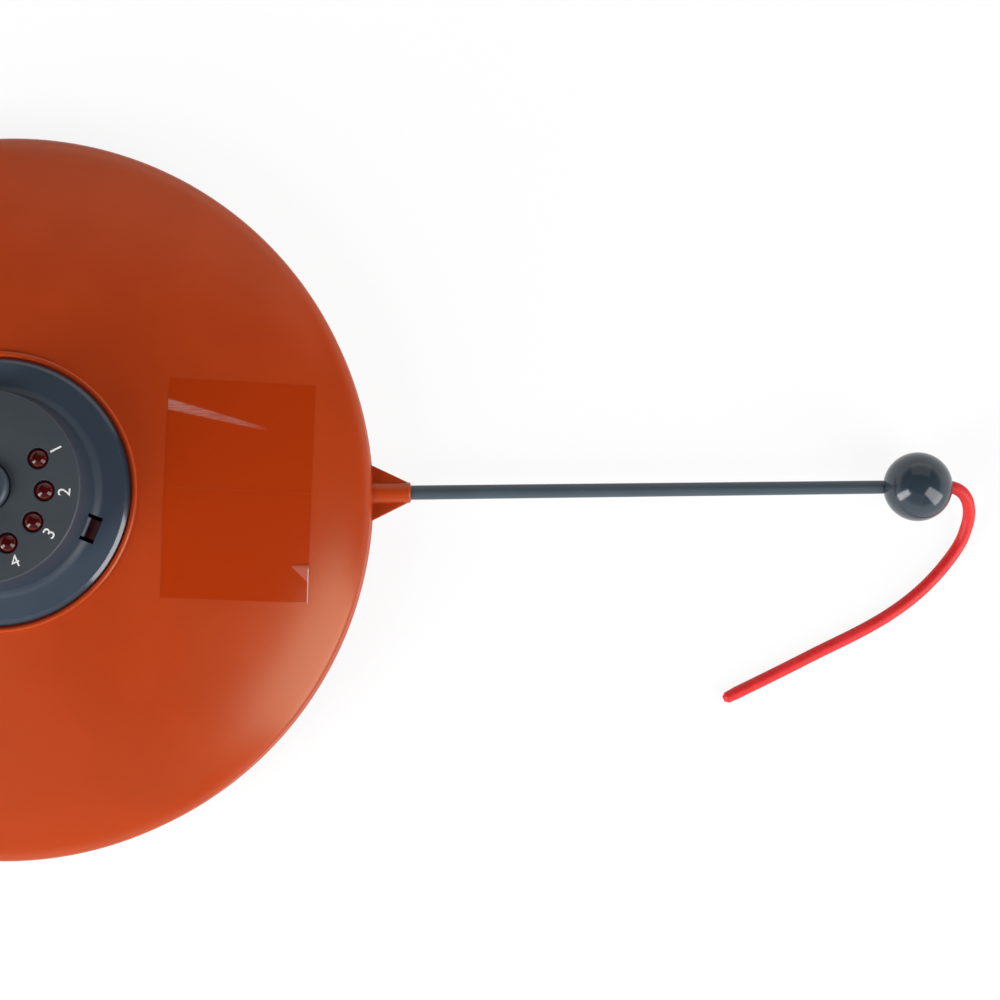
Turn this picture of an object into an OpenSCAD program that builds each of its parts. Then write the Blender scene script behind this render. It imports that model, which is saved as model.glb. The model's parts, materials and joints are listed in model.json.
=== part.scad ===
// Motorised cat toy: a dished shell turns about a fixed hub and sweeps a wand with a ball and a soft tail.
// Millimetres. The origin is on the floor under the turning axis, +Z is up and +X runs along the wand.

/* [Shell] */
// Radius of the turning shell at its skirt
shell_r = 125; // [122:1:140]
// Wall thickness of the shell
shell_wall = 2.4; // [1.8:0.1:3]
// Height of the skirt's lower edge above the floor
skirt_low = 6; // [5:0.5:8]
// Height of the skirt's straight band
skirt_h = 14; // [13:0.5:18]
// Rise of the crown from the skirt to the lip
crown_rise = 23.6; // [22:0.2:30]
// Radius of the opening that the hub stands in
neck_r = 45.6; // [44.8:0.2:50]
// Radius of the bead round the opening
lip_bead = 1.2; // [0.9:0.1:1.4]
// Number of stiffening ribs under the crown
rib_count = 12; // [6:1:18]

/* [Wand] */
// Height of the wand's axis above the floor
wand_h = 16; // [15:0.5:17]
// Diameter of the rod in its socket
rod_d = 5; // [4:0.1:5.6]
// Diameter of the rod at the ball
rod_tip_d = 4.6; // [3.6:0.1:5]
// Length of the rod, end to end
rod_len = 189; // [150:1:230]
// Length of the socket outside the skirt
socket_len = 13.4; // [10:0.2:18]
// Outer diameter of the socket at the skirt
socket_d = 8.2; // [7.8:0.1:9]
// Outer diameter of the socket at its mouth
socket_tip_d = 7.2; // [7:0.1:7.8]
// Width of the two webs where they leave the skirt
web_span = 19; // [14:0.5:26]
// Thickness of the two webs
web_t = 2.6; // [2:0.1:4]
// Diameter of the ball
ball_d = 24; // [20:0.5:28]
// Depth of the rod's and the tail's holes in the ball
ball_hole = 7; // [5:0.5:9]
// Diameter of the soft tail
tail_d = 4.4; // [4:0.1:5]

/* [Hub] */
// Running gap between the lip and the hub
hub_gap = 1.1; // [0.8:0.1:1.6]
// Depth of the hub's floor below the top of the lip bead
hub_drop = 0.7; // [0.2:0.1:2]
// Wall thickness of the hub cap
cap_wall = 2; // [1.6:0.1:2.6]
// Width of the bevel round the outer edge of the hub cap
cap_bevel = 1.8; // [1:0.1:2.4]
// Height of that bevel
cap_bevel_h = 0.8; // [0.4:0.1:1.2]
// Width of the hub's ring floor, from its edge to the turret's foot
ledge_w = 11.5; // [10.9:0.1:12.4]
// Radius of the fillet round the turret's foot
turret_fillet = 3.4; // [0.8:0.1:3.6]
// Height of the turret above the hub's floor
turret_h = 22.6; // [20:0.2:28]
// Radius that the turret's wall loses by its draft
turret_draft = 1; // [0.4:0.1:1.6]
// Diameter of the mode button
button_d = 17.6; // [16:0.2:21]
// Height of the button above the turret
button_stand = 3.2; // [2.6:0.2:9]
// Travel of the button
button_travel = 0.7; // [0.4:0.1:0.9]
// Diameter of an indicator lens
lens_d = 6.8; // [5.4:0.1:7.4]
// Height of a lens's dome
lens_rise = 2.2; // [1:0.1:2.8]
// Depth of the dome's foot below the top of the turret
lens_sink = 1.4; // [0:0.1:1.6]
// Radius of the arc that the lenses stand on
lens_orbit = 20.2; // [19:0.2:21]
// Angle between neighbouring lenses
lens_pitch = 31; // [28:0.5:40]
// Angle from the wand to the middle of the lenses
lens_turn = -20; // [-60:1:60]
// Width of a snap window
window_w = 9.3; // [7:0.1:12]
// Reach of a snap window into the hub's floor
window_reach = 3.8; // [3:0.1:4.2]
// Angle from the wand to the first snap window
window_turn = -22; // [-60:1:60]

/* [Column] */
// Room between the hub cap's skirt and the bearing's sleeve
sleeve_room = 1.1; // [0.9:0.1:1.5]
// Wall thickness of the column
column_wall = 2.2; // [1.8:0.1:2.4]
// Thickness of the column's foot flange
column_foot = 3; // [2.4:0.1:4]
// Width of the column's foot flange
column_foot_w = 8; // [7.4:0.2:9]
// Wall thickness of the bearing's sleeve
bearing_sleeve = 2; // [1.6:0.1:2.2]
// Thickness of the bearing's flange
bearing_flange = 2.3; // [1.8:0.1:3]
// Thickness of the neck's flange that rides on the bearing
neck_flange = 2.4; // [1.8:0.1:3]

/* [Drive] */
// Module of the ring gear and its pinion
ring_m = 1.2; // [1:0.1:1.4]
// Thickness of the ring gear
ring_t = 6; // [5:0.2:7]
// Thickness of the ring gear's rim under the teeth
ring_rim = 4.4; // [3.6:0.2:6]
// Teeth of the pinion that meets the ring gear
pinion_teeth = 12; // [11:1:14]
// Module of the motor stage
wheel_m = 0.6; // [0.5:0.05:0.7]
// Teeth of the wheel that meets the motor pinion
wheel_teeth = 48; // [40:1:50]
// Thickness of that wheel
wheel_t = 3.2; // [2.4:0.1:4]
// Teeth of the motor pinion
motor_teeth = 10; // [10:1:14]
// Diameter of the motor's can
motor_d = 24.4; // [20:0.2:26]
// Height of the motor's can
motor_can_h = 12.3; // [10:0.1:13]
// Diameter of the motor's shaft
shaft_d = 2; // [1.5:0.1:2.3]
// Diameter of the reduction gear's axle
axle_d = 3; // [2.5:0.1:4]
// Thickness of the gear plate
plate_t = 2; // [1.6:0.1:3]
// Direction of the reduction gear from the turning axis
drive_turn = 90; // [70:1:110]
// Direction of the motor from the reduction gear
motor_turn = 20; // [5:1:40]

/* [Base] */
// Gap between the shell's skirt and the tray's wall
tray_gap = 5.6; // [5.2:0.1:7]
// Thickness of the tray's floor
tray_floor = 3.2; // [3:0.1:4]
// Wall thickness of the tray
tray_wall = 2.2; // [1.8:0.1:3]
// Height of the tray's wall above its floor
tray_rim = 12.5; // [8:0.5:14]
// Standing height of the feet
foot_h = 2.5; // [2:0.1:4]
// Diameter of a foot
foot_d = 16; // [12:0.5:20]
// Radius of the circle that the feet stand on
foot_orbit = 98; // [92:0.5:101]

/* [Batteries] */
// Diameter of a cell
cell_d = 14.5; // [13.5:0.1:14.6]
// Length of a cell without its terminal
cell_len = 49.3; // [44:0.1:49.5]
// Room for the contacts at the two ends of a cell
contact_room = 7; // [6:0.2:9]
// Wall thickness of the battery box
bay_wall = 1.6; // [1.2:0.1:2.2]
// Thickness of the battery door
door_t = 2; // [1.8:0.1:2.2]
// Ledge that the battery door seats on
door_ledge = 3; // [2:0.2:4]

/* [Electronics] */
// Room between the control board's edge and the turret's wall
board_room = 1.5; // [1:0.1:3]
// Thickness of the control board
board_t = 1.6; // [1:0.1:2]
// Height of the board's top below the turret's roof
board_drop = 7.4; // [7.2:0.1:9]
// Diameter of an indicator light
led_d = 5; // [3:0.1:5.4]
// Width of the button's switch
switch_w = 6; // [5:0.1:7]
// Height of the button's switch
switch_h = 3.2; // [2.8:0.1:3.6]

/* [Screws] */
// Diameter of the case screws
screw_d = 2.6; // [2:0.1:3]
// Diameter of the case screws' heads
screw_head_d = 5; // [4.4:0.1:5.4]
// Diameter of the small screws
small_screw_d = 1.8; // [1.4:0.1:2]
// Diameter of the small screws' heads
small_head_d = 3.4; // [2.8:0.1:3.6]
// Thickness of every screw head
screw_head_h = 1.4; // [1:0.1:1.6]

/* [Hidden] */
$fn = 96;
// Clearances between pieces that move past each other, and between pieces that fit
run_gap = 0.3;
shaft_gap = 0.05;
fit_gap = 0.1;
// A small overshoot for cuts, and the depth to which joined shapes are sunk in each other
cut = 1;
sink = 0.4;

// Heights of the base and the drive
tray_z = foot_h;
tray_top = tray_z + tray_floor;
motor_lift = 0.6;
motor_z = tray_top + motor_lift;
plate_z = motor_z + motor_can_h;
plate_top = plate_z + plate_t;
wheel_gap = 0.8;
wheel_z = plate_top + wheel_gap;
wheel_top = wheel_z + wheel_t;
bearing_rise = 1;
bearing_z = wheel_top + bearing_rise;
neck_z = bearing_z + bearing_flange + run_gap;
neck_flange_top = neck_z + neck_flange;
skirt_room = 0.4;
shoulder_z = neck_z + ring_t;
shoulder_t = 2;

// Heights of the shell and the hub
crown_z = skirt_low + skirt_h;
crown_top = crown_z + crown_rise;
lip_lift = 0.3;
lip_z = crown_top + lip_lift;
cap_z = lip_z + lip_bead - hub_drop;
cap_under = cap_z - cap_wall;
turret_z = cap_z + turret_h;
roof_z = turret_z - cap_wall;
board_top = roof_z - board_drop;
board_z = board_top - board_t;

// Radii about the turning axis
neck_out = neck_r + shell_wall;
lip_out = neck_r + 2 * lip_bead;
hub_r = neck_r - hub_gap;
sleeve_r = hub_r - cap_wall - sleeve_room;
neck_flange_r = sleeve_r + run_gap;
bearing_inset = 1;
bearing_r = neck_out - bearing_inset;
column_r = sleeve_r - bearing_sleeve;
column_step = 1.8;
column_step_r = column_r + column_step;
column_inner_r = column_r - column_wall;
column_foot_r = column_r + column_foot_w;
column_screw_orbit = column_r + column_foot_w / 2;
shell_inner_r = shell_r - shell_wall;
tray_r = shell_inner_r - tray_gap;
turret_r = hub_r - ledge_w;
turret_inner_r = turret_r - cap_wall;
turret_top_r = turret_r - turret_draft;
board_d = 2 * (turret_top_r - cap_wall - board_room);

// Socket, rod and ball, along X from the turning axis
socket_tip = shell_r + socket_len;
socket_clear = 1.6;
socket_root = tray_r + socket_clear;
socket_floor = 1.8;
socket_chamfer = 0.6;
rod_start = socket_root + socket_floor;
rod_end = rod_start + rod_len;
ball_x = rod_end + ball_d / 2 - ball_hole;

// Tail route from the ball's middle: X, Y and the share of the drop that is left, from 1 at the ball to 0
tail_drop = wand_h - tail_d / 2;
tail_route = [
    [5, 0, 1], [8.4, 0, 1], [12.1, -0.4, 0.98], [15.1, -1.7, 0.9], [17.2, -3.8, 0.77],
    [18.5, -6.6, 0.6], [19, -10.4, 0.38], [18.3, -14.4, 0.2], [17, -18.2, 0.08], [14.9, -21.8, 0.02],
    [12.3, -25.3, 0], [6.7, -31.6, 0], [0.2, -37.5, 0], [-7.4, -43, 0], [-14.6, -47.3, 0], [-22, -51.1, 0],
    [-33, -56.3, 0], [-44.5, -61.9, 0], [-55.8, -67.3, 0], [-63, -70.7, 0], [-66.4, -72.3, 0],
    [-67.6, -72.8, 0]
];
tail_sides = 10;
tail_tip = 0.55;
mouth_depth = 3.6;
mouth_flare = 1.8;

// Gear train: teeth, centres and the turns that set the gears in mesh
pressure = 25;
addendum = 0.9;
dedendum = 1.15;
thinning = 0.1;
ring_teeth = ceil(2 * (neck_out + ring_rim + dedendum * ring_m) / ring_m);
drive_r = ring_m * (ring_teeth + pinion_teeth) / 2;
drive_at = drive_r * [cos(drive_turn), sin(drive_turn)];
motor_r = wheel_m * (wheel_teeth + motor_teeth) / 2;
motor_at = drive_at + motor_r * [cos(motor_turn), sin(motor_turn)];
reduction_phase = mesh_phase(drive_turn, 0, ring_teeth, pinion_teeth);
motor_phase = mesh_phase(motor_turn, reduction_phase, wheel_teeth, motor_teeth);
key_w = 4;
key_h = 1.4;
key_count = 3;
key_turn = 30;
key_r = neck_out + key_h / 2 - sink;
axle_collar = 3;
clip_gap = 0.8;
clip_z = shoulder_z + clip_gap;
clip_t = 0.6;
motor_gear_over = 0.2;
motor_gear_z = wheel_z - motor_gear_over;
motor_gear_h = wheel_t + 2 * motor_gear_over;

// Gear plate: posts placed from the two gear centres
post_d = 7;
plate_rim = 4;
arm_w = post_d - 1;
plate_posts = [drive_at + [-18, 10], motor_at + [21.5, 9], motor_at + [9, -19.5]];
plate_screw_bite = 7;
motor_screw_reach = 8.5;
motor_screw_bite = 2.5;
motor_floor = 1.5;
motor_boss_d = 8;
motor_boss_h = 1.2;

// Batteries: three cells side by side beyond the column's foot
cell_count = 3;
cell_gap = 0.6;
cell_pitch = cell_d + cell_gap;
bay_gap = 5;
bay_x = -column_foot_r - bay_gap - bay_w() / 2;
bay_len = cell_len + contact_room;
cell_z = tray_z + door_t + cell_d / 2;
bay_roof = cell_z + cell_d / 2 + cell_gap;
terminal_d = 5.5;
terminal_h = 1.2;
contact_t = 0.5;
contact_margin = 1;
contact_w = cell_d - 2 * contact_margin;
spring_r = 4.6;
spring_taper = 1.6;
spring_wire = 0.8;
spring_turns = 3.5;
spring_rings = 8;
spring_sides = 6;

// Snap legs of the hub cap
snap_count = 3;
snap_t = 1.5;
snap_z = cap_under - 6.6;
snap_barb_h = 2.4;
snap_ledge_z = snap_z + snap_barb_h + run_gap;
snap_ledge_t = 1.4;
snap_hold = 1;
slot_w = 1.2;
tongue_h = 4.5;

// Lens, switch and button details
lens_count = 4;
lens_hole_d = lens_d + 2 * shaft_gap;
lens_chamfer = 0.3;
lens_flange = 0.8;
lens_flange_t = 1.2;
led_gap = 1.2;
led_h = board_drop - lens_flange_t - led_gap;
button_flange = 1.2;
button_flange_t = 1.8;
button_edge = 2;
button_dish = 0.7;
button_stem_r = 2.6;
plunger_d = 3.4;
plunger_deep = 1.4;
board_post_d = 5.2;
board_margin = 3.7;
board_screw_bite = 5;
post_orbit = board_d / 2 - board_margin;
post_turns = [90, 180, 270];

orange = "#b6451f";
slate = "#3f4955";
pale_slate = "#4a5460";
tail_red = "#e0353a";
lens_red = "#5a100f";
steel = "#b9bcc0";
acetal = "#e9e7df";
board_green = "#1f5a34";

// Width of the battery box across its cells
function bay_w() = cell_count * cell_pitch + cell_gap;

// Points on a circular arc
function arc(centre, r, from, to, steps) =
    [for (i = [0:steps]) let (a = from + (to - from) * i / steps) centre + r * [cos(a), sin(a)]];

// Points on a cubic curve through its four control points
function curve(p, steps) = [for (i = [0:steps]) curve_at(p, i / steps)];
function curve_at(p, t) =
    let (u = 1 - t) u * u * u * p[0] + 3 * u * u * t * p[1] + 3 * u * t * t * p[2] + t * t * t * p[3];

// Crown of the shell, from the skirt up to the lip, set in from the outside by a depth:
// it leaves the skirt upright, turns over a full shoulder and runs nearly straight to the lip
crown_lift = 0.23;
crown_shoulder = [0.33, 0.55];
function crown(depth) =
    let (run = (shell_r - lip_out) * crown_shoulder[0], rise = crown_rise * crown_shoulder[1])
    [
        [shell_r - depth, crown_z],
        [shell_r - depth, crown_z + crown_rise * crown_lift - depth / 2],
        [shell_r - run - depth / 3, crown_z + rise - depth],
        [lip_out, crown_top - depth]
    ];
crown_steps = 28;

// Height of the crown's underside at a radius, by halving
function crown_under(r, low = 0, high = 1, step = 0) =
    let (mid = (low + high) / 2, p = curve_at(crown(shell_wall), mid))
    step > 20 ? p[1] : p[0] > r ? crown_under(r, mid, high, step + 1) : crown_under(r, low, mid, step + 1);

// Involute teeth
function involute(base_r, r) = let (a = acos(min(1, base_r / r))) tan(a) * 180 / PI - a;
function tooth_half(teeth, m, r) =
    let (pitch_r = m * teeth / 2, base_r = pitch_r * cos(pressure))
    180 / PI * m * (PI / 2 - thinning) / (2 * pitch_r) + involute(base_r, pitch_r) - involute(base_r, r);
function gear_outline(teeth, m) =
    let (
        pitch_r = m * teeth / 2,
        root_r = pitch_r - dedendum * m,
        tip_r = pitch_r + addendum * m,
        low_r = max(root_r, pitch_r * cos(pressure)),
        steps = teeth > 30 ? 2 : 4,
        radii = [for (i = [0:steps]) low_r + (tip_r - low_r) * i / steps],
        flank = [for (r = radii) [r, tooth_half(teeth, m, r)]],
        foot = root_r < low_r - 0.01 ? [[root_r, flank[0][1]]] : [],
        rise = concat(foot, flank),
        last = len(rise) - 1
    )
    [for (k = [0:teeth - 1], side = [-1, 1], i = [0:last])
        let (p = rise[side < 0 ? i : last - i], a = 360 * k / teeth + side * p[1]) p[0] * [cos(a), sin(a)]];

// Turn of a driven gear that sets it in mesh with a driving gear lying in a given direction
function mesh_phase(towards, driver_phase, driver_teeth, driven_teeth) =
    towards + 180 + 180 / driven_teeth - (driver_phase - towards) * driver_teeth / driven_teeth;

// Tube along a path: one ring of points at each place, carried along without twist
function unit(v) = v / norm(v);
function heading(path, i) = unit(path[min(i + 1, len(path) - 1)] - path[max(i - 1, 0)]);
function levelled(v, along) = unit(v - (v * along) * along);
function side_vectors(path) =
    [for (i = 0, v = levelled([0.1, 0.2, 1], heading(path, 0)); i < len(path);
        i = i + 1, v = levelled(v, heading(path, min(i, len(path) - 1)))) v];
function tube_points(path, radii, sides) =
    let (vectors = side_vectors(path))
    [for (i = [0:len(path) - 1], k = [0:sides - 1])
        let (v = vectors[i], w = cross(heading(path, i), v), a = 360 * k / sides)
        path[i] + radii[i] * (cos(a) * v + sin(a) * w)];
function tube_faces(rings, sides) = concat(
    [for (k = [1:sides - 2]) [0, k, k + 1]],
    [for (i = [0:rings - 2], k = [0:sides - 1]) let (a = i * sides + k, b = i * sides + (k + 1) % sides)
        [a, a + sides, b]],
    [for (i = [0:rings - 2], k = [0:sides - 1]) let (a = i * sides + k, b = i * sides + (k + 1) % sides)
        [b, a + sides, b + sides]],
    [for (k = [1:sides - 2]) let (first = (rings - 1) * sides) [first, first + k + 1, first + k]]
);
module tube(path, radii, sides)
    polyhedron(tube_points(path, radii, sides), tube_faces(len(path), sides), convexity = 6);

// Shapes that repeat
module disc(d, h) cylinder(d = d, h = h);
module gear(teeth, m, h, phase) rotate(phase) linear_extrude(h) polygon(gear_outline(teeth, m));
module round_about(count, orbit, turn)
    for (i = [0:count - 1]) rotate(turn + i * 360 / count) translate([orbit, 0, 0]) children();
module at_lenses() for (i = [0:lens_count - 1]) at_lens(i) children();
module at_lens(i)
    rotate(lens_turn + ((lens_count - 1) / 2 - i) * lens_pitch) translate([lens_orbit, 0, 0]) children();
module at_board_posts()
    for (turn = post_turns) rotate(lens_turn + turn) translate([post_orbit, 0, 0]) children();
module bar(p, q, w)
    translate(p) rotate(atan2(q[1] - p[1], q[0] - p[0])) translate([0, -w / 2]) square([norm(q - p), w]);
// Pan head screw with its head below and its thread up
module screw(d, head_d, length) {
    drive_w = d * 0.3;
    drive_deep = screw_head_h * 0.5;
    difference() {
        union() {
            translate([0, 0, -screw_head_h]) disc(head_d, screw_head_h);
            translate([0, 0, -0.01]) disc(d, length + 0.01);
        }
        for (turn = [0, 90]) rotate(turn)
            translate([-d / 2, -drive_w / 2, -screw_head_h - cut]) cube([d, drive_w, drive_deep + cut]);
    }
}

// The turning shell: skirt, crown, lip, neck with its bearing flange, ribs and the wand's socket
module shell_profile() {
    edge = 0.9;
    polygon(concat(
        [[shell_inner_r, skirt_low]],
        arc([shell_r - edge, skirt_low + edge], edge, -90, 0, 4),
        curve(crown(0), crown_steps),
        arc([neck_r + lip_bead, lip_z], lip_bead, 0, 180, 14),
        [
            [neck_r, neck_flange_top], [neck_flange_r, neck_flange_top], [neck_flange_r, neck_z],
            [neck_out, neck_z], [neck_out, shoulder_z], [neck_out + ring_rim, shoulder_z],
            [neck_out + ring_rim, shoulder_z + shoulder_t], [neck_out, shoulder_z + shoulder_t],
            [neck_out, crown_under(neck_out)]
        ],
        [for (i = [crown_steps - 1:-1:0]) curve_at(crown(shell_wall), i / crown_steps)]
    ));
}
module shell_ribs() {
    rib_t = 1.6;
    rib_reach = 18;
    foot = shoulder_z + shoulder_t + 0.6;
    tip = neck_out + rib_reach;
    middle = neck_out + rib_reach / 2;
    round_about(rib_count, 0, 180 / rib_count)
        rotate([90, 0, 0]) translate([0, 0, -rib_t / 2]) linear_extrude(rib_t) polygon([
            [neck_out - sink, foot], [tip, crown_under(tip) + sink], [middle, crown_under(middle) + sink],
            [neck_out - sink, crown_under(neck_out) + sink]
        ]);
}
// Socket for the rod: a tapered tube with a chamfered mouth between two flat webs
module socket_web() {
    inner = shell_inner_r + sink;
    end = socket_tip - 2 * socket_chamfer;
    translate([0, 0, wand_h - web_t / 2]) linear_extrude(web_t) polygon([
        [inner, web_span / 2], [shell_r, web_span / 2], [end, socket_tip_d / 2],
        [end, -socket_tip_d / 2], [shell_r, -web_span / 2], [inner, -web_span / 2]
    ]);
}
module socket_tube() {
    mouth = socket_tip - socket_root;
    skirt = shell_r - socket_root;
    translate([socket_root, 0, wand_h]) rotate([0, 90, 0]) rotate_extrude() polygon([
        [0, 0], [socket_d / 2, 0], [socket_d / 2, skirt], [socket_tip_d / 2, mouth - socket_chamfer],
        [socket_tip_d / 2 - socket_chamfer, mouth], [0, mouth]
    ]);
}
module shell() color(orange) difference() {
    union() {
        rotate_extrude($fn = 180) shell_profile();
        shell_ribs();
        neck_keys(0);
        socket_web();
        socket_tube();
    }
    translate([rod_start, 0, wand_h]) rotate([0, 90, 0]) disc(rod_d + 2 * shaft_gap, socket_tip);
}
// Keys on the neck that drive the shell from its ring gear
module neck_keys(gap) translate([0, 0, neck_z + ring_t / 2]) round_about(key_count, key_r + gap / 2, key_turn)
    cube([key_h + 2 * sink + gap, key_w + 2 * gap, ring_t + 2 * gap], center = true);

module ring_gear() color(acetal) difference() {
    translate([0, 0, neck_z]) gear(ring_teeth, ring_m, ring_t, 0);
    translate([0, 0, neck_z - cut]) disc(2 * neck_out, ring_t + 2 * cut);
    neck_keys(fit_gap);
}

// The wand
module wand_rod() color(slate) translate([rod_start, 0, wand_h]) rotate([0, 90, 0]) {
    held = socket_tip - rod_start;
    taper = rod_len - held - ball_hole;
    rotate_extrude() polygon([
        [0, 0], [rod_d / 2, 0], [rod_d / 2, held], [rod_tip_d / 2, held + taper],
        [rod_tip_d / 2, rod_len], [0, rod_len]
    ]);
}
module wand_ball() color(slate) translate([ball_x, 0, wand_h]) difference() {
    sphere(d = ball_d);
    rotate([0, -90, 0]) translate([0, 0, ball_d / 2 - ball_hole]) disc(rod_tip_d, ball_hole + cut);
    rotate([0, 90, 0]) {
        translate([0, 0, ball_d / 2 - ball_hole]) disc(tail_d + 2 * shaft_gap, ball_hole + cut);
        translate([0, 0, ball_d / 2 - mouth_depth])
            cylinder(d1 = tail_d + 2 * shaft_gap, d2 = tail_d + 2 * mouth_flare, h = mouth_depth + 0.2);
    }
}
module wand_tail() color(tail_red) {
    path = [for (p = tail_route) [ball_x + p[0], p[1], tail_d / 2 + tail_drop * p[2]]];
    last = len(path) - 1;
    radii = [for (i = [0:last]) tail_d / 2 * (i == last ? tail_tip : 1)];
    tube(path, radii, tail_sides);
}

// The fixed hub: ring floor, turret, snap windows and legs
module hub_profile() {
    edge = 0.8;
    wall_foot = turret_r + turret_fillet;
    inner_top = turret_top_r - cap_wall;
    skirt_gap = 0.8;
    skirt_z = neck_flange_top + skirt_gap;
    polygon(concat(
        [[hub_r - cap_wall, skirt_z], [hub_r, skirt_z]],
        [[hub_r, cap_z - cap_bevel_h], [hub_r - cap_bevel, cap_z]],
        arc([wall_foot, cap_z + turret_fillet], turret_fillet, -90, -180, 8),
        arc([turret_top_r - edge, turret_z - edge], edge, 0, 90, 7),
        [
            [button_d / 2 + run_gap, turret_z], [button_d / 2 + run_gap, roof_z], [inner_top, roof_z],
            [turret_inner_r, cap_under], [hub_r - cap_wall, cap_under]
        ]
    ));
}
module snap_leg() {
    leg_w = window_w - 2 * slot_w;
    leg_r = turret_inner_r + snap_t;
    barb_r = column_inner_r - run_gap;
    leg_top = cap_z - sink / 2;
    translate([0, leg_w / 2, 0]) rotate([90, 0, 0]) linear_extrude(leg_w) polygon([
        [turret_inner_r, leg_top], [turret_inner_r, snap_z], [leg_r, snap_z], [barb_r, snap_z + snap_barb_h],
        [leg_r, snap_z + snap_barb_h], [leg_r, leg_top]
    ]);
}
// Window through the floor and the turret's foot, with a slot at each side that frees the leg's tongue
module snap_window() {
    tongue_r = turret_inner_r + snap_t;
    translate([tongue_r, -window_w / 2, cap_under - cut])
        cube([turret_r + window_reach - tongue_r, window_w, cap_wall + turret_fillet + sink + cut]);
    for (edge = [-window_w / 2, window_w / 2 - slot_w])
        translate([turret_inner_r - cut, edge, cap_under - cut])
            cube([cap_wall + 2 * cut, slot_w, cap_wall + tongue_h + cut]);
}
module lens_hole() {
    translate([0, 0, roof_z - cut]) disc(lens_hole_d, cap_wall + 2 * cut);
    translate([0, 0, turret_z - lens_chamfer])
        cylinder(d1 = lens_hole_d, d2 = lens_hole_d + 4 * lens_chamfer, h = 2 * lens_chamfer);
}
module board_post() translate([0, 0, board_top]) difference() {
    disc(board_post_d, board_drop + sink / 2);
    translate([0, 0, -cut]) disc(small_screw_d, board_drop);
}
module hub_cap() color(slate) union() {
    difference() {
        rotate_extrude($fn = 180) hub_profile();
        at_lenses() lens_hole();
        round_about(snap_count, 0, window_turn) snap_window();
    }
    round_about(snap_count, 0, window_turn) snap_leg();
    at_board_posts() board_post();
}

module lens() color(lens_red) {
    dome_r = (lens_d * lens_d / 4 + lens_rise * lens_rise) / (2 * lens_rise);
    half = asin(min(1, lens_d / 2 / dome_r));
    dome = arc([0, turret_z - lens_sink + lens_rise - dome_r], dome_r, 90 - half, 90, 10);
    rotate_extrude() polygon(concat(
        [[0, roof_z - lens_flange_t], [lens_d / 2 + lens_flange, roof_z - lens_flange_t],
            [lens_d / 2 + lens_flange, roof_z], [lens_d / 2, roof_z]],
        dome
    ));
}
module lens_1() at_lens(0) lens();
module lens_2() at_lens(1) lens();
module lens_3() at_lens(2) lens();
module lens_4() at_lens(3) lens();

// Button, switch and control board
module mode_button() color(pale_slate) {
    r = button_d / 2;
    top = turret_z + button_stand;
    flange_top = roof_z - run_gap;
    flange_z = flange_top - button_flange_t;
    stem_z = board_top + switch_h + button_travel + fit_gap;
    dish_r = r - 2 * button_edge;
    shares = [for (i = [6:-1:0]) i / 6];
    dish = [for (share = shares) [dish_r * share, top - button_dish * (1 - share * share)]];
    rotate_extrude() polygon(concat(
        [[0, stem_z], [button_stem_r, stem_z], [button_stem_r, flange_z], [r + button_flange, flange_z],
            [r + button_flange, flange_top], [r, flange_top]],
        arc([r - button_edge, top - button_edge], button_edge, 0, 90, 8),
        dish
    ));
}
module switch_plunger() color("#222427") {
    top = board_top + switch_h + button_travel + fit_gap;
    foot = board_top + switch_h - plunger_deep;
    translate([0, 0, foot]) disc(plunger_d, top - foot);
}
module tact_switch() color("#2b2d30") translate([0, 0, board_top]) difference() {
    translate([-switch_w / 2, -switch_w / 2, 0]) cube([switch_w, switch_w, switch_h]);
    translate([0, 0, switch_h - plunger_deep - button_travel - fit_gap])
        disc(plunger_d + 2 * shaft_gap, switch_h);
}
module control_board() color(board_green) difference() {
    translate([0, 0, board_z]) disc(board_d, board_t);
    at_board_posts() translate([0, 0, board_z - cut]) disc(small_screw_d, board_t + 2 * cut);
}
module board_screws() color(steel) at_board_posts() translate([0, 0, board_z])
    screw(small_screw_d, small_head_d, board_t + board_screw_bite);
module indicator_leds() color("#c23028") at_lenses() translate([0, 0, board_top]) {
    body_h = led_h - led_d / 2;
    collar = 0.4;
    disc(led_d + 2 * collar, 2 * collar);
    disc(led_d, body_h);
    translate([0, 0, body_h]) intersection() {
        sphere(d = led_d);
        disc(2 * led_d, led_d);
    }
}

// The column that carries the hub, and the plain bearing that the shell turns on
module centre_column() color(slate) {
    foot_top = tray_top + column_foot;
    ledge_top = snap_ledge_z + snap_ledge_t;
    ledge_r = column_inner_r - snap_hold;
    lead_w = 12;
    lead_h = 8;
    difference() {
        rotate_extrude() polygon([
            [column_inner_r, tray_top], [column_foot_r, tray_top], [column_foot_r, foot_top],
            [column_step_r, foot_top], [column_step_r, bearing_z], [column_r, bearing_z],
            [column_r, cap_under], [column_inner_r, cap_under], [column_inner_r, ledge_top + snap_hold],
            [ledge_r, ledge_top], [ledge_r, snap_ledge_z], [column_inner_r, snap_ledge_z]
        ]);
        at_column_screws() translate([0, 0, tray_top - cut]) disc(screw_d, column_foot + 2 * cut);
        rotate(drive_turn) translate([0, -lead_w / 2, foot_top]) cube([column_foot_r, lead_w, lead_h]);
    }
}
module at_column_screws() round_about(4, column_screw_orbit, 45) children();
module column_screws() color(steel) at_column_screws() translate([0, 0, tray_z + screw_head_h])
    screw(screw_d, screw_head_d, tray_floor - screw_head_h + column_foot);
module bearing_ring() color(acetal) {
    flange_top = bearing_z + bearing_flange;
    sleeve_top = neck_flange_top + skirt_room;
    rotate_extrude() polygon([
        [column_r, bearing_z], [bearing_r, bearing_z], [bearing_r, flange_top],
        [sleeve_r, flange_top], [sleeve_r, sleeve_top], [column_r, sleeve_top]
    ]);
}

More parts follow.
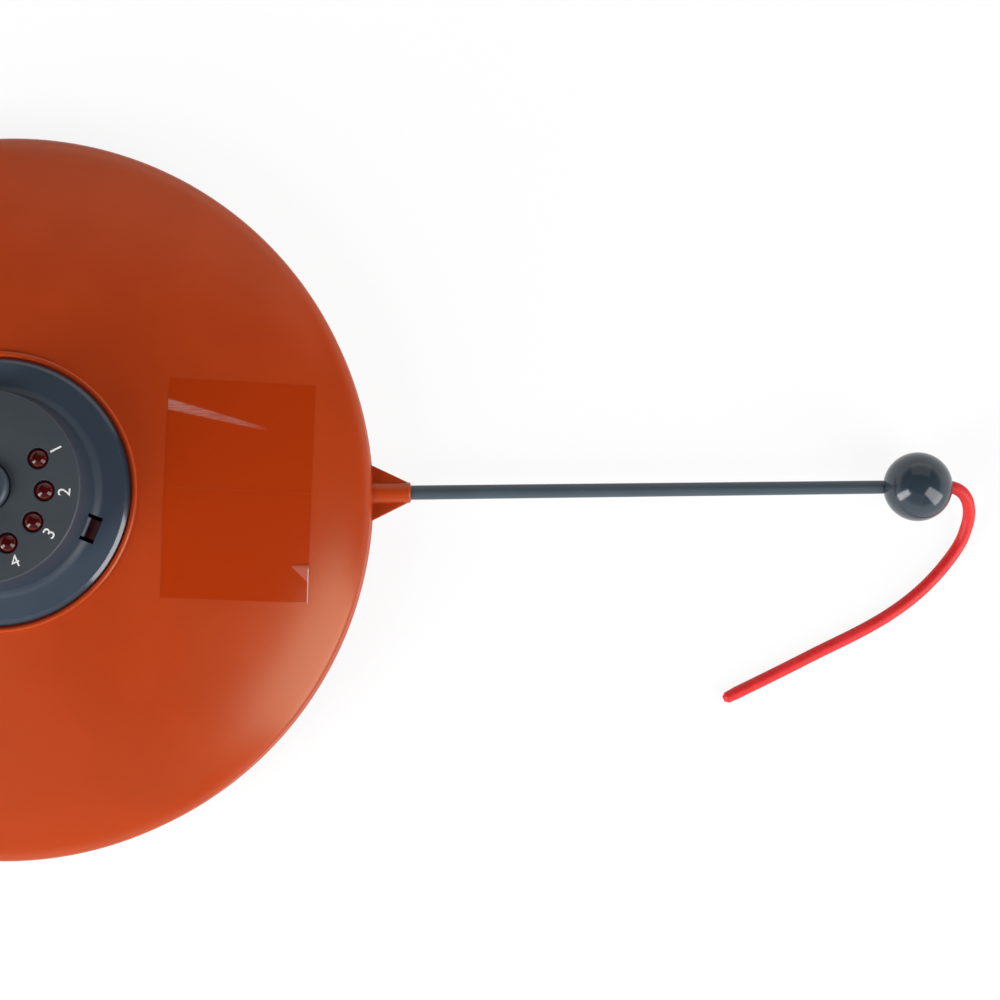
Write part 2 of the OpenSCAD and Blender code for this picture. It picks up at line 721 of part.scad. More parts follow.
// Reduction gear on its axle, and the motor
module reduction_gear() color("#d8d4c8") translate([drive_at[0], drive_at[1], 0]) difference() {
    seat_gap = 0.2;
    pinion_over = 0.5;
    union() {
        translate([0, 0, plate_top + seat_gap]) disc(axle_d + axle_collar, wheel_gap);
        translate([0, 0, wheel_z]) gear(wheel_teeth, wheel_m, wheel_t, reduction_phase);
        translate([0, 0, wheel_top - sink])
            gear(pinion_teeth, ring_m, shoulder_z + pinion_over - wheel_top + sink, reduction_phase);
    }
    translate([0, 0, plate_top - cut]) disc(axle_d + 2 * shaft_gap, shoulder_z);
}
module gear_axle() color(steel) translate([drive_at[0], drive_at[1], plate_z])
    disc(axle_d, clip_z + 2 * clip_t - plate_z);
module axle_clip() color(steel) translate([drive_at[0], drive_at[1], clip_z]) difference() {
    disc(axle_d + axle_collar, clip_t);
    translate([0, 0, -cut]) disc(axle_d, clip_t + 2 * cut);
}
module gear_plate() color(pale_slate) translate([0, 0, plate_z]) difference() {
    linear_extrude(plate_t) {
        translate(drive_at) circle(d = axle_d + 2 * plate_rim + axle_collar);
        translate(motor_at) circle(d = motor_d + plate_rim);
        bar(drive_at, motor_at, axle_d + 2 * plate_rim);
        for (p = plate_posts) translate(p) circle(d = post_d);
        bar(drive_at, plate_posts[0], arm_w);
        bar(motor_at, plate_posts[1], arm_w);
        bar(motor_at, plate_posts[2], arm_w);
    }
    translate([drive_at[0], drive_at[1], -cut]) disc(axle_d, plate_t + 2 * cut);
    translate([motor_at[0], motor_at[1], -cut]) disc(motor_boss_d, plate_t + 2 * cut);
    for (p = plate_posts) translate([p[0], p[1], -cut]) disc(screw_d, plate_t + 2 * cut);
    at_motor_screws() translate([0, 0, -cut]) disc(small_screw_d, plate_t + 2 * cut);
}
module at_motor_screws() for (side = [-1, 1]) translate([motor_at[0], motor_at[1], 0])
    rotate(motor_turn + side * 90) translate([motor_screw_reach, 0, 0]) children();
module plate_screws() color(steel) for (p = plate_posts) translate([p[0], p[1], plate_top])
    rotate([180, 0, 0]) screw(screw_d, screw_head_d, plate_t + plate_screw_bite);
module motor_can() color(steel) translate([motor_at[0], motor_at[1], motor_z]) difference() {
    union() {
        disc(motor_d, motor_can_h);
        translate([0, 0, motor_can_h - sink]) disc(motor_boss_d, motor_boss_h + sink);
    }
    translate([0, 0, motor_floor]) disc(shaft_d + 2 * shaft_gap, motor_can_h + motor_boss_h);
    for (side = [-1, 1]) rotate(motor_turn + side * 90)
        translate([motor_screw_reach, 0, motor_can_h - motor_screw_bite - run_gap])
            disc(small_screw_d, motor_screw_bite + run_gap + cut);
}
module motor_screws() color(steel) at_motor_screws() translate([0, 0, plate_top])
    rotate([180, 0, 0]) screw(small_screw_d, small_head_d, plate_t + motor_screw_bite);
module motor_shaft() color(steel) {
    foot = motor_z + motor_floor + fit_gap;
    shaft_over = 0.6;
    top = motor_gear_z + motor_gear_h + shaft_over;
    translate([motor_at[0], motor_at[1], foot]) disc(shaft_d, top - foot);
}
module motor_pinion() color("#c9a64b") translate([motor_at[0], motor_at[1], motor_gear_z]) difference() {
    gear(motor_teeth, wheel_m, motor_gear_h, motor_phase);
    translate([0, 0, -cut]) disc(shaft_d, motor_gear_h + 2 * cut);
}

// The base tray with its battery box, door, screws and feet
bay_roof_top = bay_roof + bay_wall;
door_w = bay_w() + 2 * door_ledge;
door_len = bay_len + 2 * door_ledge;
door_boss = 9;
door_boss_h = 6;
door_screw_at = [bay_x, bay_len / 2 + door_ledge + door_boss / 2 - 1];
module door_outline(grow) {
    translate([bay_x, 0]) square([door_w + 2 * grow, door_len + 2 * grow], center = true);
    translate(door_screw_at) circle(d = door_boss + 2 * grow);
}
module at_feet() round_about(4, foot_orbit, 45) children();
foot_recess = 1;
module tray_profile() {
    chamfer = 1.4;
    polygon([
        [0, tray_z], [tray_r - chamfer, tray_z], [tray_r, tray_z + chamfer], [tray_r, tray_top + tray_rim],
        [tray_r - tray_wall, tray_top + tray_rim], [tray_r - tray_wall, tray_top], [0, tray_top]
    ]);
}
module base_tray() color(slate) difference() {
    union() {
        rotate_extrude($fn = 180) tray_profile();
        translate([bay_x - bay_w() / 2 - bay_wall, -bay_len / 2 - bay_wall, tray_z + door_t])
            cube([bay_w() + 2 * bay_wall, bay_len + 2 * bay_wall, bay_roof_top - tray_z - door_t]);
        translate([0, 0, tray_top - sink]) {
            for (p = plate_posts) translate(p) disc(post_d, plate_z - tray_top + sink);
            translate(door_screw_at) disc(door_boss - 2, door_boss_h + sink);
        }
        rib_ring();
    }
    translate([bay_x - bay_w() / 2, -bay_len / 2, tray_z - cut])
        cube([bay_w(), bay_len, bay_roof - tray_z + cut]);
    translate([0, 0, tray_z - cut]) linear_extrude(door_t + cut) door_outline(fit_gap);
    translate([door_screw_at[0], door_screw_at[1], tray_z]) disc(screw_d, tray_floor + door_boss_h - cut);
    at_feet() translate([0, 0, tray_z - cut]) disc(foot_d, foot_recess + cut);
    at_column_screws() translate([0, 0, tray_z - cut]) {
        disc(screw_d, tray_floor + 2 * cut);
        disc(screw_head_d, screw_head_h + cut);
    }
    for (p = plate_posts) translate([p[0], p[1], plate_z - plate_screw_bite - cut])
        disc(screw_d, plate_screw_bite + 2 * cut);
}
// Low ribs that stiffen the tray's floor
module rib_ring() {
    rib_t = 1.6;
    rib_h = 3;
    rib_gap = 6;
    rib_in = column_foot_r + rib_gap;
    rib_out = tray_r - tray_wall + sink;
    for (turn = [-75, -45, -15, 15, 40, 125]) rotate(turn) translate([rib_in, -rib_t / 2, tray_top - sink])
        cube([rib_out - rib_in, rib_t, rib_h + sink]);
}
module battery_door() color(slate) translate([0, 0, tray_z]) difference() {
    grip_count = 5;
    grip_w = 1.4;
    grip_pitch = 3.2;
    grip_deep = 0.6;
    linear_extrude(door_t) door_outline(0);
    translate([door_screw_at[0], door_screw_at[1], -cut]) {
        disc(screw_d, door_t + 2 * cut);
        disc(screw_head_d, screw_head_h + cut);
    }
    for (i = [0:grip_count - 1]) translate([bay_x - bay_w() / 4, -bay_len / 2 + 2 + i * grip_pitch, -cut])
        cube([bay_w() / 2, grip_w, grip_deep + cut]);
}
module door_screw() color(steel) translate([door_screw_at[0], door_screw_at[1], tray_z + screw_head_h])
    screw(screw_d, screw_head_d, tray_floor + 2);
module rubber_feet() color("#26282b") at_feet() {
    chamfer = 1.2;
    top = foot_h + foot_recess;
    rotate_extrude() polygon([
        [0, 0], [foot_d / 2 - chamfer, 0], [foot_d / 2, chamfer], [foot_d / 2, top], [0, top]
    ]);
}

// Three cells in series with their contacts, every second one turned end for end
module at_cells() for (i = [0:cell_count - 1])
    translate([bay_x + (i - (cell_count - 1) / 2) * cell_pitch, 0, cell_z])
        rotate([i % 2 == 0 ? -90 : 90, 0, 0]) children();
// Along each cell's own axis: the plate's end of the box is above, the spring's end below
cell_top = bay_len / 2 - contact_t - terminal_h;
cell_foot = cell_top - cell_len;
module battery_cells() color("#3b6ea5") at_cells() {
    translate([0, 0, cell_foot]) disc(cell_d, cell_len);
    translate([0, 0, cell_top - sink]) disc(terminal_d, terminal_h + sink);
}
module battery_plates() color(steel) at_cells() for (end = [-1, 1])
    translate([-contact_w / 2, -contact_w / 2, end * (bay_len - contact_t) / 2 - contact_t / 2])
        cube([contact_w, contact_w, contact_t]);
module battery_springs() color(steel) at_cells() {
    low = -bay_len / 2 + contact_t + spring_wire / 2;
    high = cell_foot - spring_wire / 2;
    count = spring_turns * spring_rings;
    path = [for (i = [0:count]) let (a = 360 * i / spring_rings, r = spring_r - spring_taper * i / count)
        [r * cos(a), r * sin(a), low + (high - low) * i / count]];
    tube(path, [for (p = path) spring_wire / 2], spring_sides);
}

shell();
ring_gear();
wand_rod();
wand_ball();
wand_tail();
hub_cap();
lens_1();
lens_2();
lens_3();
lens_4();
mode_button();
switch_plunger();
tact_switch();
control_board();
board_screws();
indicator_leds();
centre_column();
column_screws();
bearing_ring();
reduction_gear();
gear_axle();
axle_clip();
gear_plate();
plate_screws();
motor_can();
motor_screws();
motor_shaft();
motor_pinion();
base_tray();
battery_door();
door_screw();
rubber_feet();
battery_cells();
battery_springs();
battery_plates();
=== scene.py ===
"""A motorised cat toy, dressed round its packed construction.

A satin shell turns about a matte hub and sweeps a wand with a ball and a soft tail.
Metres: +Z is up, +X runs along the wand, and the origin is on the floor under the turning axis.
"""
import json
import math

import bpy
from mathutils import Matrix, Vector


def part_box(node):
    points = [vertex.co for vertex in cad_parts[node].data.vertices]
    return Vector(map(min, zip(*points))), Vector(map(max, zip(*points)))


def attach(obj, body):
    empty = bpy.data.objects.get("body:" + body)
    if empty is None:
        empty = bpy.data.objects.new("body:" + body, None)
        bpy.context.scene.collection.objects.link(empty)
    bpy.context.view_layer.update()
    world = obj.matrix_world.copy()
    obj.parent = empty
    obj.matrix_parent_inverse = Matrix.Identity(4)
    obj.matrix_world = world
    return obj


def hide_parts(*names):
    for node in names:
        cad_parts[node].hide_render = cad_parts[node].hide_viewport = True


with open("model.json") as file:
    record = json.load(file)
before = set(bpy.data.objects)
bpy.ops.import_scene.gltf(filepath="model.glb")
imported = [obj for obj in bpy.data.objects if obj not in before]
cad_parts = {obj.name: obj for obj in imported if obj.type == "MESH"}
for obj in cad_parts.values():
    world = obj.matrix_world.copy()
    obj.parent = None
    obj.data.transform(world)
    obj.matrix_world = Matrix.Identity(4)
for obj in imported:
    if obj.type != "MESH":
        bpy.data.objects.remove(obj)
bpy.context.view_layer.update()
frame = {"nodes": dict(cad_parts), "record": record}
MM = 0.001

# Sizes of the construction that the pieces are fitted to
shell_low, shell_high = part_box("shell")
hub_low, hub_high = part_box("hub_cap")
button_low, button_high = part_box("mode_button")
rod_low, rod_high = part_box("wand_rod")
SHELL_R = -shell_low.x
SKIRT_LOW = shell_low.z
SOCKET_TIP = shell_high.x
HUB_R = -hub_low.x
TURRET_Z = hub_high.z
BUTTON_FOOT = button_low.z
BUTTON_TOP = button_high.z
ROD_START = rod_low.x
ROD_END = rod_high.x
WAND_H = (rod_low.z + rod_high.z) / 2

# Joins: play round a fitted piece, the inset that keeps faces of tools apart, and the welding distance
PLAY = 0.05 * MM
INSET = 0.05 * MM
WELD = 0.002 * MM

# Steps of a full turn
STEPS_LARGE = 240
STEPS_BUTTON = 128
STEPS_BALL = 96
STEPS_ROD = 64
STEPS_LENS = 48

# Shell
SHELL_WALL = 2.4 * MM
SKIRT_EDGE = 0.9 * MM
CROWN_Z = 20 * MM
CROWN_TOP = 43.6 * MM
CROWN_LIFT = 0.23
CROWN_SHOULDER = (0.33, 0.55)
NECK_R = 45.6 * MM
NECK_Z = 28.2 * MM
NECK_FLANGE_R = 41.7 * MM
NECK_FLANGE_T = 2.4 * MM
LIP_BEAD = 0.85 * MM
LIP_OUT = 47.4 * MM
LIP_TOP = CROWN_TOP + 1.5 * MM
SOCKET_R = 4.1 * MM
SOCKET_TIP_R = 3.6 * MM
SOCKET_ROOT = ROD_START - 1.8 * MM
SOCKET_EDGE = 0.7 * MM
BORE_EDGE = 0.2 * MM
WEB_HALF = 9.6 * MM
WEB_T = 2.6 * MM
WEB_SINK = 0.4 * MM
WEB_SHORT = 1.1 * MM
WEB_FOOT = 2.9 * MM
WEB_EDGE = 0.3 * MM

# Wand
ROD_R = 2.5 * MM
ROD_TIP_R = 2.3 * MM
ROD_EDGE = 0.4 * MM
ROD_RINGS = 24
BALL_R = 12 * MM
BALL_HOLE = 7 * MM
BALL_X = ROD_END - BALL_HOLE + BALL_R
TAIL_R = 2.2 * MM
MOUTH_DEPTH = 3.6 * MM
MOUTH_FLARE = 1.8 * MM

# Hub
CAP_Z = 44.4 * MM
CAP_WALL = 2 * MM
CAP_UNDER = CAP_Z - CAP_WALL
CAP_FLARE = 0.65 * MM
CAP_BEVEL = 1.8 * MM
CAP_BEVEL_H = 0.8 * MM
CAP_SOFT = 0.35 * MM
SKIRT_Z = 31.4 * MM
TURRET_R = HUB_R - 11.5 * MM
TURRET_BORE = TURRET_R - CAP_WALL
TURRET_DRAFT = 1 * MM
TURRET_FILLET = 3.4 * MM
DIAL_EDGE = 0.8 * MM
ROOF_Z = TURRET_Z - CAP_WALL
BUTTON_R = 8.8 * MM
BUTTON_GAP = 0.3 * MM
BUTTON_EDGE = 2 * MM
BUTTON_DISH = 0.7 * MM
BUTTON_FLANGE = 1.2 * MM
BUTTON_FLANGE_T = 1.8 * MM
BUTTON_STEM_R = 2.6 * MM
LENS_COUNT = 4
LENS_R = 3.4 * MM
LENS_GAP = 0.05 * MM
LENS_RISE = 2.2 * MM
LENS_SINK = 1.4 * MM
LENS_FLANGE = 0.8 * MM
LENS_FLANGE_T = 1.2 * MM
LENS_CHAMFER = 0.3 * MM

# Snap windows beside the turret, with the tongues, sills and barbed legs in them
WINDOW_W = 9.3 * MM
WINDOW_REACH = 3.8 * MM
WINDOW_RISE = TURRET_FILLET + 0.4 * MM
WINDOW_EASE = 0.25 * MM
WINDOW_TURN = -22
WINDOW_COUNT = 3
SLOT_W = 1.2 * MM
TONGUE_H = 4.5 * MM
SILL_GAP = 0.1 * MM
SILL_OUT = 0.3 * MM
SILL_T = 1.2 * MM
SILL_H = 2 * MM
SILL_FALL = 0.9 * MM
SNAP_T = 1.5 * MM
SNAP_BACK = 0.15 * MM
SNAP_Z = CAP_UNDER - 6.6 * MM
SNAP_TOP = CAP_Z - 0.2 * MM
BARB_H = 2.4 * MM
BARB_R = 36.9 * MM
BARB_SINK = 0.4 * MM

# Print and film; the film's marks are points on the shell in millimetres
NUMBER_H = 4.2 * MM
NUMBER_FONT = 1.4 * NUMBER_H
NUMBER_ORBIT = 27 * MM
INK_T = 0.05 * MM
FILM_AT = (80.5 * MM, 0)
FILM_DROP = 60 * MM
FILM_GRID = (60, 46)
FILM_W = 48.8 * MM
FILM_H = 37.1 * MM
FILM_SEAM = 0.25 * MM
FILM_TURN = -2.5
FILM_T = 0.06 * MM
FILM_LIFT = 0.03 * MM
FILM_FOLD = ((97.4, -25.5), (103.8, -25.2), (103.5, -31.7))
FILM_CURL = 0.5 * MM
FILM_SLOPE = 0.12
# The crease line carries a painted glare streak of reflected light; the rim and foot lines carry painted
# edge highlights.
FILM_CREASE_GLARE = ((57.2, 29.4), (92, 20.4))
FILM_RIM = ((103.24, -38.48), (103.79, -26.04))
FILM_FOOT = ((55, -36.4), (103.24, -38.48))
GLARE_SPREAD = 1.4 * MM
GLARE_TIP = 0.5 * MM

# The soft tail's route in millimetres: X and Y from the ball's middle, and height above the floor
TAIL_ROUTE = [
    (5, 0, 16), (8.4, 0, 16), (12.1, -0.4, 15.7), (15.1, -1.7, 14.6), (17.2, -3.8, 12.8),
    (18.5, -6.6, 10.5), (19, -10.4, 7.4), (18.3, -14.4, 5), (17, -18.2, 3.3), (14.9, -21.8, 2.5),
    (12.3, -25.3, 2.2), (6.7, -31.6, 2.2), (0.2, -37.5, 2.2), (-7.4, -43, 2.2), (-14.6, -47.3, 2.2),
    (-22, -51.1, 2.2), (-33, -56.3, 2.2), (-44.5, -61.9, 2.2), (-55.8, -67.3, 2.2), (-63, -70.7, 2.2),
    (-66.4, -72.3, 2.2), (-67.6, -72.8, 2.2),
]
TAIL_TIP = (1, 0.9, 0.45)

# Camera: place, turns and the photograph's focal length in pixels of its frame
IMAGE_PX = 1000
FOCAL_PX = 2555
SENSOR_MM = 36
CAMERA_AT = (164.8 * MM, -63.5 * MM, 900 * MM)
CAMERA_TILT = 3.92
CAMERA_PAN = -0.29
CAMERA_ROLL = -0.67

# Studio: floor, world and lamps, each lamp with its heading, distance, width, height and power
FLOOR_SIZE = 8
FLOOR_GREY = (0.82, 0.82, 0.82, 1)
FLOOR_GLOW = 1.05
FLOOR_GLOW_SHARE = 0.84
WORLD_RISE = {"From Min": 0.15, "From Max": 0.5, "To Min": 1.0, "To Max": 0.02}
LAMP_AIM = (0.1, 0, 0.03)
LAMPS = {
    "softbox_left": ((-0.768, -0.48, 0.423), 2, 0.72, 1.87, 35),
    "softbox_right": ((0.745, -0.458, 0.485), 2, 1.05, 2.3, 37.5),
    "fill_front": ((-0.3, -0.75, 0.6), 1.5, 2.0, 1.6, 3.4),
    "fill_back": ((0.2, 0.8, 0.5), 1.5, 1.6, 1.2, 3.7),
}

# Finishes: the orange gloss's tint, the painted glow put in the running gap and on the legs, and sizes of
# patterns
WARM_GLOSS = (1.0, 0.86, 0.58, 1.0)
BLACK = (0, 0, 0)
PAINTED_GAP_GLOW = (0.06, 0.006, 0.002)
PAINTED_LEG_GLOW = (0.018, 0.002, 0.0005)
SCRATCH_SIZE = 0.02
SCRATCH_TURN = 27
CELL_BAND = (20.5 * MM, 21 * MM)
RUN_SIZE = 2.6 * MM


class Wire:
    """A shader value: arithmetic on it adds Math nodes."""

    def __init__(self, finish, socket):
        self.finish = finish
        self.socket = socket

    def reckon(self, operation, first, second):
        return self.finish.node("ShaderNodeMath", {"operation": operation}, {0: first, 1: second})

    def __add__(self, other):
        return self.reckon("ADD", self, other)

    __radd__ = __add__

    def __sub__(self, other):
        return self.reckon("SUBTRACT", self, other)

    def __rsub__(self, other):
        return self.reckon("SUBTRACT", other, self)

    def __mul__(self, other):
        return self.reckon("MULTIPLY", self, other)

    def __truediv__(self, other):
        return self.reckon("DIVIDE", self, other)

    def __pow__(self, other):
        return self.reckon("POWER", self, other)


class Finish:
    """A procedural finish: one Principled surface and the nodes that feed it."""

    def __init__(self, name, **constants):
        self.material = bpy.data.materials.new(name)
        self.material.use_nodes = True
        self.tree = self.material.node_tree
        self.surface = self.tree.nodes["Principled BSDF"]
        for socket, value in constants.items():
            self.surface.inputs[socket.replace("_", " ")].default_value = value
        self.place = self.node("ShaderNodeTexCoord", out="Object")

    def node(self, kind, settings=(), inputs=(), out=0):
        """A node of a type, with its settings, and with values or wires on its sockets."""
        made = self.tree.nodes.new(kind)
        for name, value in dict(settings).items():
            setattr(made, name, value)
        for key, value in dict(inputs).items():
            if isinstance(value, Wire):
                self.tree.links.new(value.socket, made.inputs[key])
            else:
                made.inputs[key].default_value = value
        return Wire(self, made.outputs[out])

    def feed(self, socket, wire):
        """Puts a wire on a socket of the surface."""
        self.tree.links.new(wire.socket, self.surface.inputs[socket])

    def noise(self, size, detail, place=None):
        """Soft noise whose features are about a size across, from 0 to 1."""
        inputs = {"Vector": place or self.place, "Scale": 1 / size, "Detail": detail}
        return self.node("ShaderNodeTexNoise", {}, inputs)

    def stretched(self, scale, turn=0.0):
        """The piece's coordinates, turned about Z and stretched."""
        inputs = {"Vector": self.place, "Scale": scale, "Rotation": (0, 0, math.radians(turn))}
        return self.node("ShaderNodeMapping", {}, inputs)

    def step(self, value, low, high):
        """A smooth rise from 0 at low to 1 at high."""
        inputs = {"Value": value, "From Min": low, "From Max": high}
        return self.node("ShaderNodeMapRange", {"interpolation_type": "SMOOTHSTEP"}, inputs)

    def clouds(self, size):
        """Broad soft clouds, from 0 to 1."""
        return self.step(self.noise(size, 3), 0.32, 0.68)

    def patches(self, size, low, high):
        """Scattered soft patches, from 0 to 1."""
        return self.step(self.noise(size, 2), low, high)

    def scratches(self, stretch, turn, low, high, detail=2):
        """Thin lines that run one way, from 0 to 1."""
        return self.step(self.noise(SCRATCH_SIZE, detail, self.stretched(stretch, turn)), low, high)

    def mottle(self):
        """Small uneven spots of gloss, from 0 to 1."""
        return self.noise(0.009, 4)

    def mix(self, share, first, second):
        """A colour between two."""
        first, second = (c if isinstance(c, Wire) else (*c, 1.0) for c in (first, second))
        return self.node("ShaderNodeMix", {"data_type": "RGBA"}, {0: share, 6: first, 7: second}, out=2)

    def axes(self):
        """The three coordinates as separate values."""
        split = self.node("ShaderNodeSeparateXYZ", {}, {0: self.place})
        return [Wire(self, output) for output in split.socket.node.outputs]

    def radius(self):
        """The distance from the turning axis."""
        across, along, _ = self.axes()
        return (across * across + along * along) ** 0.5

    def bump(self, height, depth):
        """Relief of a height map whose full swing is a depth."""
        self.feed("Normal", self.node("ShaderNodeBump", {}, {"Height": height, "Distance": depth}))


def moulded(name, light, dark, roughness, grain, depth):
    """Moulded plastic: cloudy colour, spark-eroded grain, and faint handling scuffs that dull it."""
    finish = Finish(name)
    colour = finish.mix(finish.clouds(0.03), dark, light)
    lines = finish.scratches((6, 160, 6), SCRATCH_TURN, 0.66, 0.76)
    cross = finish.scratches((150, 5, 5), -12, 0.68, 0.78)
    scuffs = (lines + cross) * finish.patches(0.022, 0.52, 0.7)
    pale = tuple(min(1, c * 1.25 + 0.015) for c in light)
    finish.feed("Base Color", finish.mix(scuffs * 0.3, colour, pale))
    finish.feed("Roughness", finish.mottle() * 0.12 + (roughness - 0.06) + scuffs * 0.12)
    finish.bump(finish.noise(grain, 2) + scuffs * -0.15, depth)
    return finish.material


def shell_plastic():
    """Satin orange plastic with clouds, fine grain and scuffs, painted shade that darkens the webs, and a
    painted glow in the running gap.
    """
    gloss = {"Specular_IOR_Level": 0.5, "Specular_Tint": WARM_GLOSS}
    finish = Finish("shell_orange", Emission_Strength=1.0, **gloss)
    _, along, height = finish.axes()
    radius = finish.radius()
    rim, beyond = SHELL_R + 0.1 * MM, SHELL_R + 0.5 * MM
    blend = 1.5 * MM
    skirt = finish.step(height, CROWN_Z + blend, CROWN_Z - blend) * finish.step(radius, beyond, rim)
    # The webs beside the socket are painted a darker orange: painted shade of the shell falling over them.
    web = finish.step(radius, rim, beyond) * finish.step(along * along, SOCKET_TIP_R**2, SOCKET_R**2)
    # The neck inside the lip glows dimly: painted light that lifts the running gap from black to dark red.
    neck = finish.step(radius, LIP_OUT - 1.5 * MM, LIP_OUT - 1.8 * MM)
    scuffs = finish.scratches((1.2, 45, 1.2), SCRATCH_TURN, 0.64, 0.78, detail=1)
    scuffs = scuffs * finish.patches(0.03, 0.5, 0.75)
    colour = finish.mix(finish.clouds(0.03), (0.435, 0.0455, 0.0072), (0.465, 0.0495, 0.0080))
    colour = finish.mix(web, colour, (0.36, 0.036, 0.0055))
    finish.feed("Base Color", finish.mix(scuffs * 0.09, colour, (0.55, 0.075, 0.02)))
    finish.feed("Roughness", finish.noise(0.012, 3) * 0.05 + 0.225 + scuffs * 0.012 + skirt * 0.4)
    finish.feed("Emission Color", finish.mix(neck, BLACK, PAINTED_GAP_GLOW))
    finish.bump(finish.noise(0.5 * MM, 2), 0.004 * MM)
    return finish.material


def wand_plastic():
    """Satin slate plastic of the wand, deeper in the polished ball than on the drawn rod."""
    finish = Finish("wand_slate")
    along = finish.axes()[0]
    ball_start = ROD_END - BALL_HOLE
    ball = finish.step(along, ball_start - 0.5 * MM, ball_start)
    clouds = finish.clouds(0.02)
    rod = finish.mix(clouds, (0.048, 0.068, 0.086), (0.054, 0.076, 0.096))
    bead = finish.mix(clouds, (0.028, 0.041, 0.056), (0.033, 0.047, 0.063))
    drawn = finish.noise(SCRATCH_SIZE, 2, finish.stretched((3, 50, 50)))
    finish.feed("Base Color", finish.mix(ball, rod, bead))
    finish.feed("Roughness", finish.mottle() * 0.1 + 0.38 - ball * 0.29)
    finish.bump(drawn * (1 - ball), 0.012 * MM)
    return finish.material


def hub_plastic():
    """The hub's plastic: polished on its bevelled edge, dull on the turret, greyer on the dial; the turret
    wall is painted darker than the ledge as painted shade, and the legs glow with painted light.
    """
    finish = Finish("hub_slate", Coat_Roughness=0.1, Emission_Strength=1.0)
    height = finish.axes()[2]
    radius = finish.radius()
    dial = finish.step(height, TURRET_Z - 0.3 * MM, TURRET_Z - 0.1 * MM)
    bevel = finish.step(height, CAP_Z - 0.02 * MM, CAP_Z - 0.1 * MM)
    # The ledge and the turret wall are lit and shaded copies of one plastic: the wall is painted darker as
    # painted shade.
    wall = finish.step(height, CAP_Z, CAP_Z + 0.7 * MM)
    # The legs under the windows glow dimly: painted light that shows the window interiors dark red.
    legs = finish.step(height, CAP_UNDER, CAP_UNDER - CAP_WALL)
    legs = legs * finish.step(height, NECK_Z, NECK_Z + 2 * MM)
    legs = legs * finish.step(radius, TURRET_R - 0.5 * MM, TURRET_R + 0.5 * MM)
    legs = legs * finish.step(radius, HUB_R, HUB_R - CAP_WALL)
    clouds = finish.clouds(0.025)
    ledge = finish.mix(clouds, (0.039, 0.058, 0.086), (0.044, 0.064, 0.095))
    shaded_turret = finish.mix(clouds, (0.022, 0.034, 0.052), (0.025, 0.039, 0.059))
    overlay = finish.mix(clouds, (0.037, 0.046, 0.056), (0.042, 0.052, 0.062))
    colour = finish.mix(dial, finish.mix(wall, ledge, shaded_turret), overlay)
    scuffs = finish.scratches((6, 160, 6), SCRATCH_TURN, 0.66, 0.76) * finish.patches(0.02, 0.52, 0.7)
    finish.feed("Base Color", finish.mix(scuffs * 0.25, colour, (0.075, 0.088, 0.105)))
    finish.feed("Roughness", finish.mottle() * 0.1 + 0.44 - bevel * 0.28 + scuffs * 0.1)
    finish.feed("Coat Weight", bevel)
    finish.feed("Emission Color", finish.mix(legs, BLACK, PAINTED_LEG_GLOW))
    finish.bump(finish.noise(0.35 * MM, 2) * (0.25 + dial * 0.75), 0.02 * MM)
    return finish.material


def soft_rubber(name, light, dark, roughness, **constants):
    """Soft rubber with a dusty bloom and fine grain."""
    finish = Finish(name, **constants)
    bloom = finish.step(finish.noise(0.006, 4), 0.4, 0.75)
    finish.feed("Base Color", finish.mix(bloom, dark, light))
    finish.feed("Roughness", bloom * 0.14 + (roughness - 0.05))
    finish.bump(finish.noise(0.0009, 3), 0.03 * MM)
    return finish.material


def lens_plastic():
    """Clear red cast plastic: dark where it is deep, redder towards its foot."""
    finish = Finish("lens_red", Roughness=0.06, IOR=1.5, Specular_IOR_Level=0.4)
    height = finish.axes()[2]
    foot = finish.step(height, TURRET_Z + 0.6 * MM, TURRET_Z - MM)
    swirl = finish.noise(1.6 * MM, 2)
    red = finish.mix(foot * 0.7 + swirl * 0.3, (0.042, 0.002, 0.002), (0.11, 0.007, 0.005))
    finish.feed("Base Color", red)
    finish.bump(swirl, 0.01 * MM)
    return finish.material


def metal(name, light, dark, roughness, turn=0):
    """Plated metal with a drawn grain."""
    finish = Finish(name, Metallic=1.0)
    drawn = finish.noise(SCRATCH_SIZE, 3, finish.stretched((8, 220, 60), turn))
    finish.feed("Base Color", finish.mix(finish.step(drawn, 0.35, 0.65), dark, light))
    finish.feed("Roughness", drawn * 0.16 + (roughness - 0.08))
    finish.bump(drawn, 0.01 * MM)
    return finish.material


def board_mask():
    """Green solder mask over a faint pattern of copper runs."""
    finish = Finish("board_green", Roughness=0.35)
    cells = {"Vector": finish.place, "Scale": 1 / RUN_SIZE}
    runs = finish.node("ShaderNodeTexVoronoi", {"distance": "MANHATTAN", "feature": "F1"}, cells)
    runs = finish.step(runs, 0.2, 0.3)
    finish.feed("Base Color", finish.mix(runs, (0.030, 0.150, 0.055), (0.012, 0.085, 0.030)))
    finish.bump(runs, 0.03 * MM)
    return finish.material


def cell_film():
    """Bare plastic film shrunk on a cell, with a steel-coloured band at each end."""
    finish = Finish("cell_jacket", Roughness=0.3)
    along = finish.axes()[1]
    band = finish.step(along * along, CELL_BAND[0] ** 2, CELL_BAND[1] ** 2)
    crinkle = finish.noise(3 * MM, 3)
    blue = finish.mix(crinkle, (0.030, 0.110, 0.290), (0.050, 0.170, 0.400))
    finish.feed("Base Color", finish.mix(band, blue, (0.5, 0.5, 0.5)))
    finish.feed("Metallic", band * 0.9)
    finish.bump(crinkle, 0.02 * MM)
    return finish.material


def ink(name, colour):
    """Printed ink, a little thin in places."""
    finish = Finish(name, Roughness=0.55)
    thin = finish.step(finish.noise(0.25 * MM, 3), 0.5, 0.9)
    finish.feed("Base Color", finish.mix(thin * 0.4, colour, tuple(c * 0.72 for c in colour)))
    finish.bump(finish.noise(0.12 * MM, 2), 0.01 * MM)
    return finish.material


